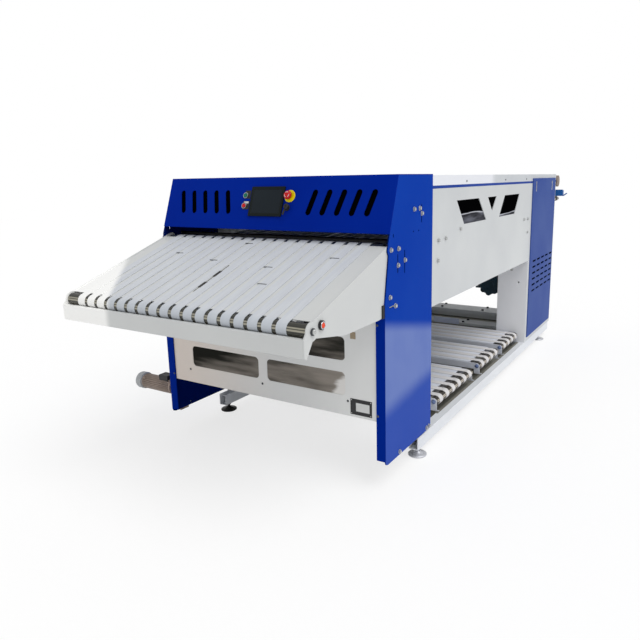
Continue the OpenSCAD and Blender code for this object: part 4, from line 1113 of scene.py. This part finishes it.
teal_paint = coated("teal_motor_paint", (2, 40, 54), (0, 30, 42), (0.4, 0.55), (300, 0.3), shine=0.3)
hub = Vector((mid_x + 0.328, flange_y + 2.600, 0.504))
hub_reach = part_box("main_gear_motor")[1][0] - hub[0]
hub_face = facing((0, -1, 0), hub + Vector((0, -0.060, 0)))
ear_steps = [(0.020, 0.186), (0.022, 0.189), (0.022, 0.232), (0.018, 0.238)]
ear_seats = [hub_face @ round_axis(0.061, turn) for turn in (-48, -95, -140, -5)]
main_motor = [
    cast_box("gear_block", hub, (-0.07, -0.06, -0.08), (hub_reach, 0.06, 0.09), teal_paint, 0.010, 0.012),
    placed(gear_motor("main_motor", 0.080, 0.180, 0.073, 0.060, teal_paint, teal_paint), hub_face),
    cast_box("terminal_box", hub, (-0.106, -0.24, -0.017), (-0.05, -0.11, 0.062), teal_paint, 0.004, 0.006),
    cast_box("foot_plate", hub, (-0.118, -0.262, -0.034), (-0.030, -0.112, -0.022), teal_paint, 0.003),
]
main_motor += copies(stacked("ear", (ear_steps, 24, teal_paint)), ear_seats)
finish("main_gear_motor_set", main_motor, None, stands_for=["main_gear_motor"])


# Gear motor of the cross conveyors: the same make-up, smaller, on a worm block outside the
# left panel, with a taupe coat, a grey fan cowl and a black terminal box.
taupe_paint = coated("taupe_motor_paint", (168, 150, 138), (146, 130, 120), (0.4, 0.55), (300, 0.3))
cowl_grey = coated("cowl_grey", (186, 189, 190), (170, 173, 175), (0.4, 0.5), (300, 0.2))
low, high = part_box("cross_gear_motor")
worm = Vector((low[0] + 0.263, flange_y + 0.088, high[2] - 0.062))
block_end = (high[0] - worm[0], 0.028, 0.046)
motor = gear_motor("cross_motor", 0.042, 0.223, 0.046, 0.040, taupe_paint, cowl_grey)
cross_motor = [
    cast_box("worm_block", worm, (0, -0.028, 0.107 - worm[2]), block_end, taupe_paint, 0.005, 0.006),
    placed(motor, facing((-1, 0, 0), worm)),
    cast_box("cable_box", worm, (-0.09, -0.025, 0.03), (-0.025, 0.025, 0.062), black_plastic, 0.003, 0.005),
]
finish("cross_gear_motor_set", cross_motor, None, stands_for=["cross_gear_motor"])


# Chain, sprocket and bearings in oiled steel, the toothed belt of the infeed drive in rubber,
# the grey cabinet, the taupe roller at the rear and the air valve with its blue lever.
grey_paint = coated("grey_motor_paint", (120, 124, 128), (104, 108, 112), (0.4, 0.55), (300, 0.3))
dark_steel = coated("oiled_steel", (70, 70, 72), (52, 52, 54), (0.35, 0.5), (500, 0.2), metallic=0.7)
taupe_rubber = coated("taupe_rubber", (150, 135, 125), (138, 123, 113), (0.55, 0.7), (500, 0.3))
valve_blue = coated("valve_blue", (0, 100, 180), (0, 90, 168), (0.3, 0.4), (500, 0.1))
sheet_copy("electrical_cabinet", 0.002, grey_paint)
dress(dark_steel, "motor_sprocket", "drive_chain", "roller_bearings")
dress(black_rubber, "infeed_drive_belt")
dress(taupe_rubber, "rear_roller")
dress(steel, "air_valve")
sheet_copy("air_valve_lever", 0.0012, valve_blue, "air_valve_lever")
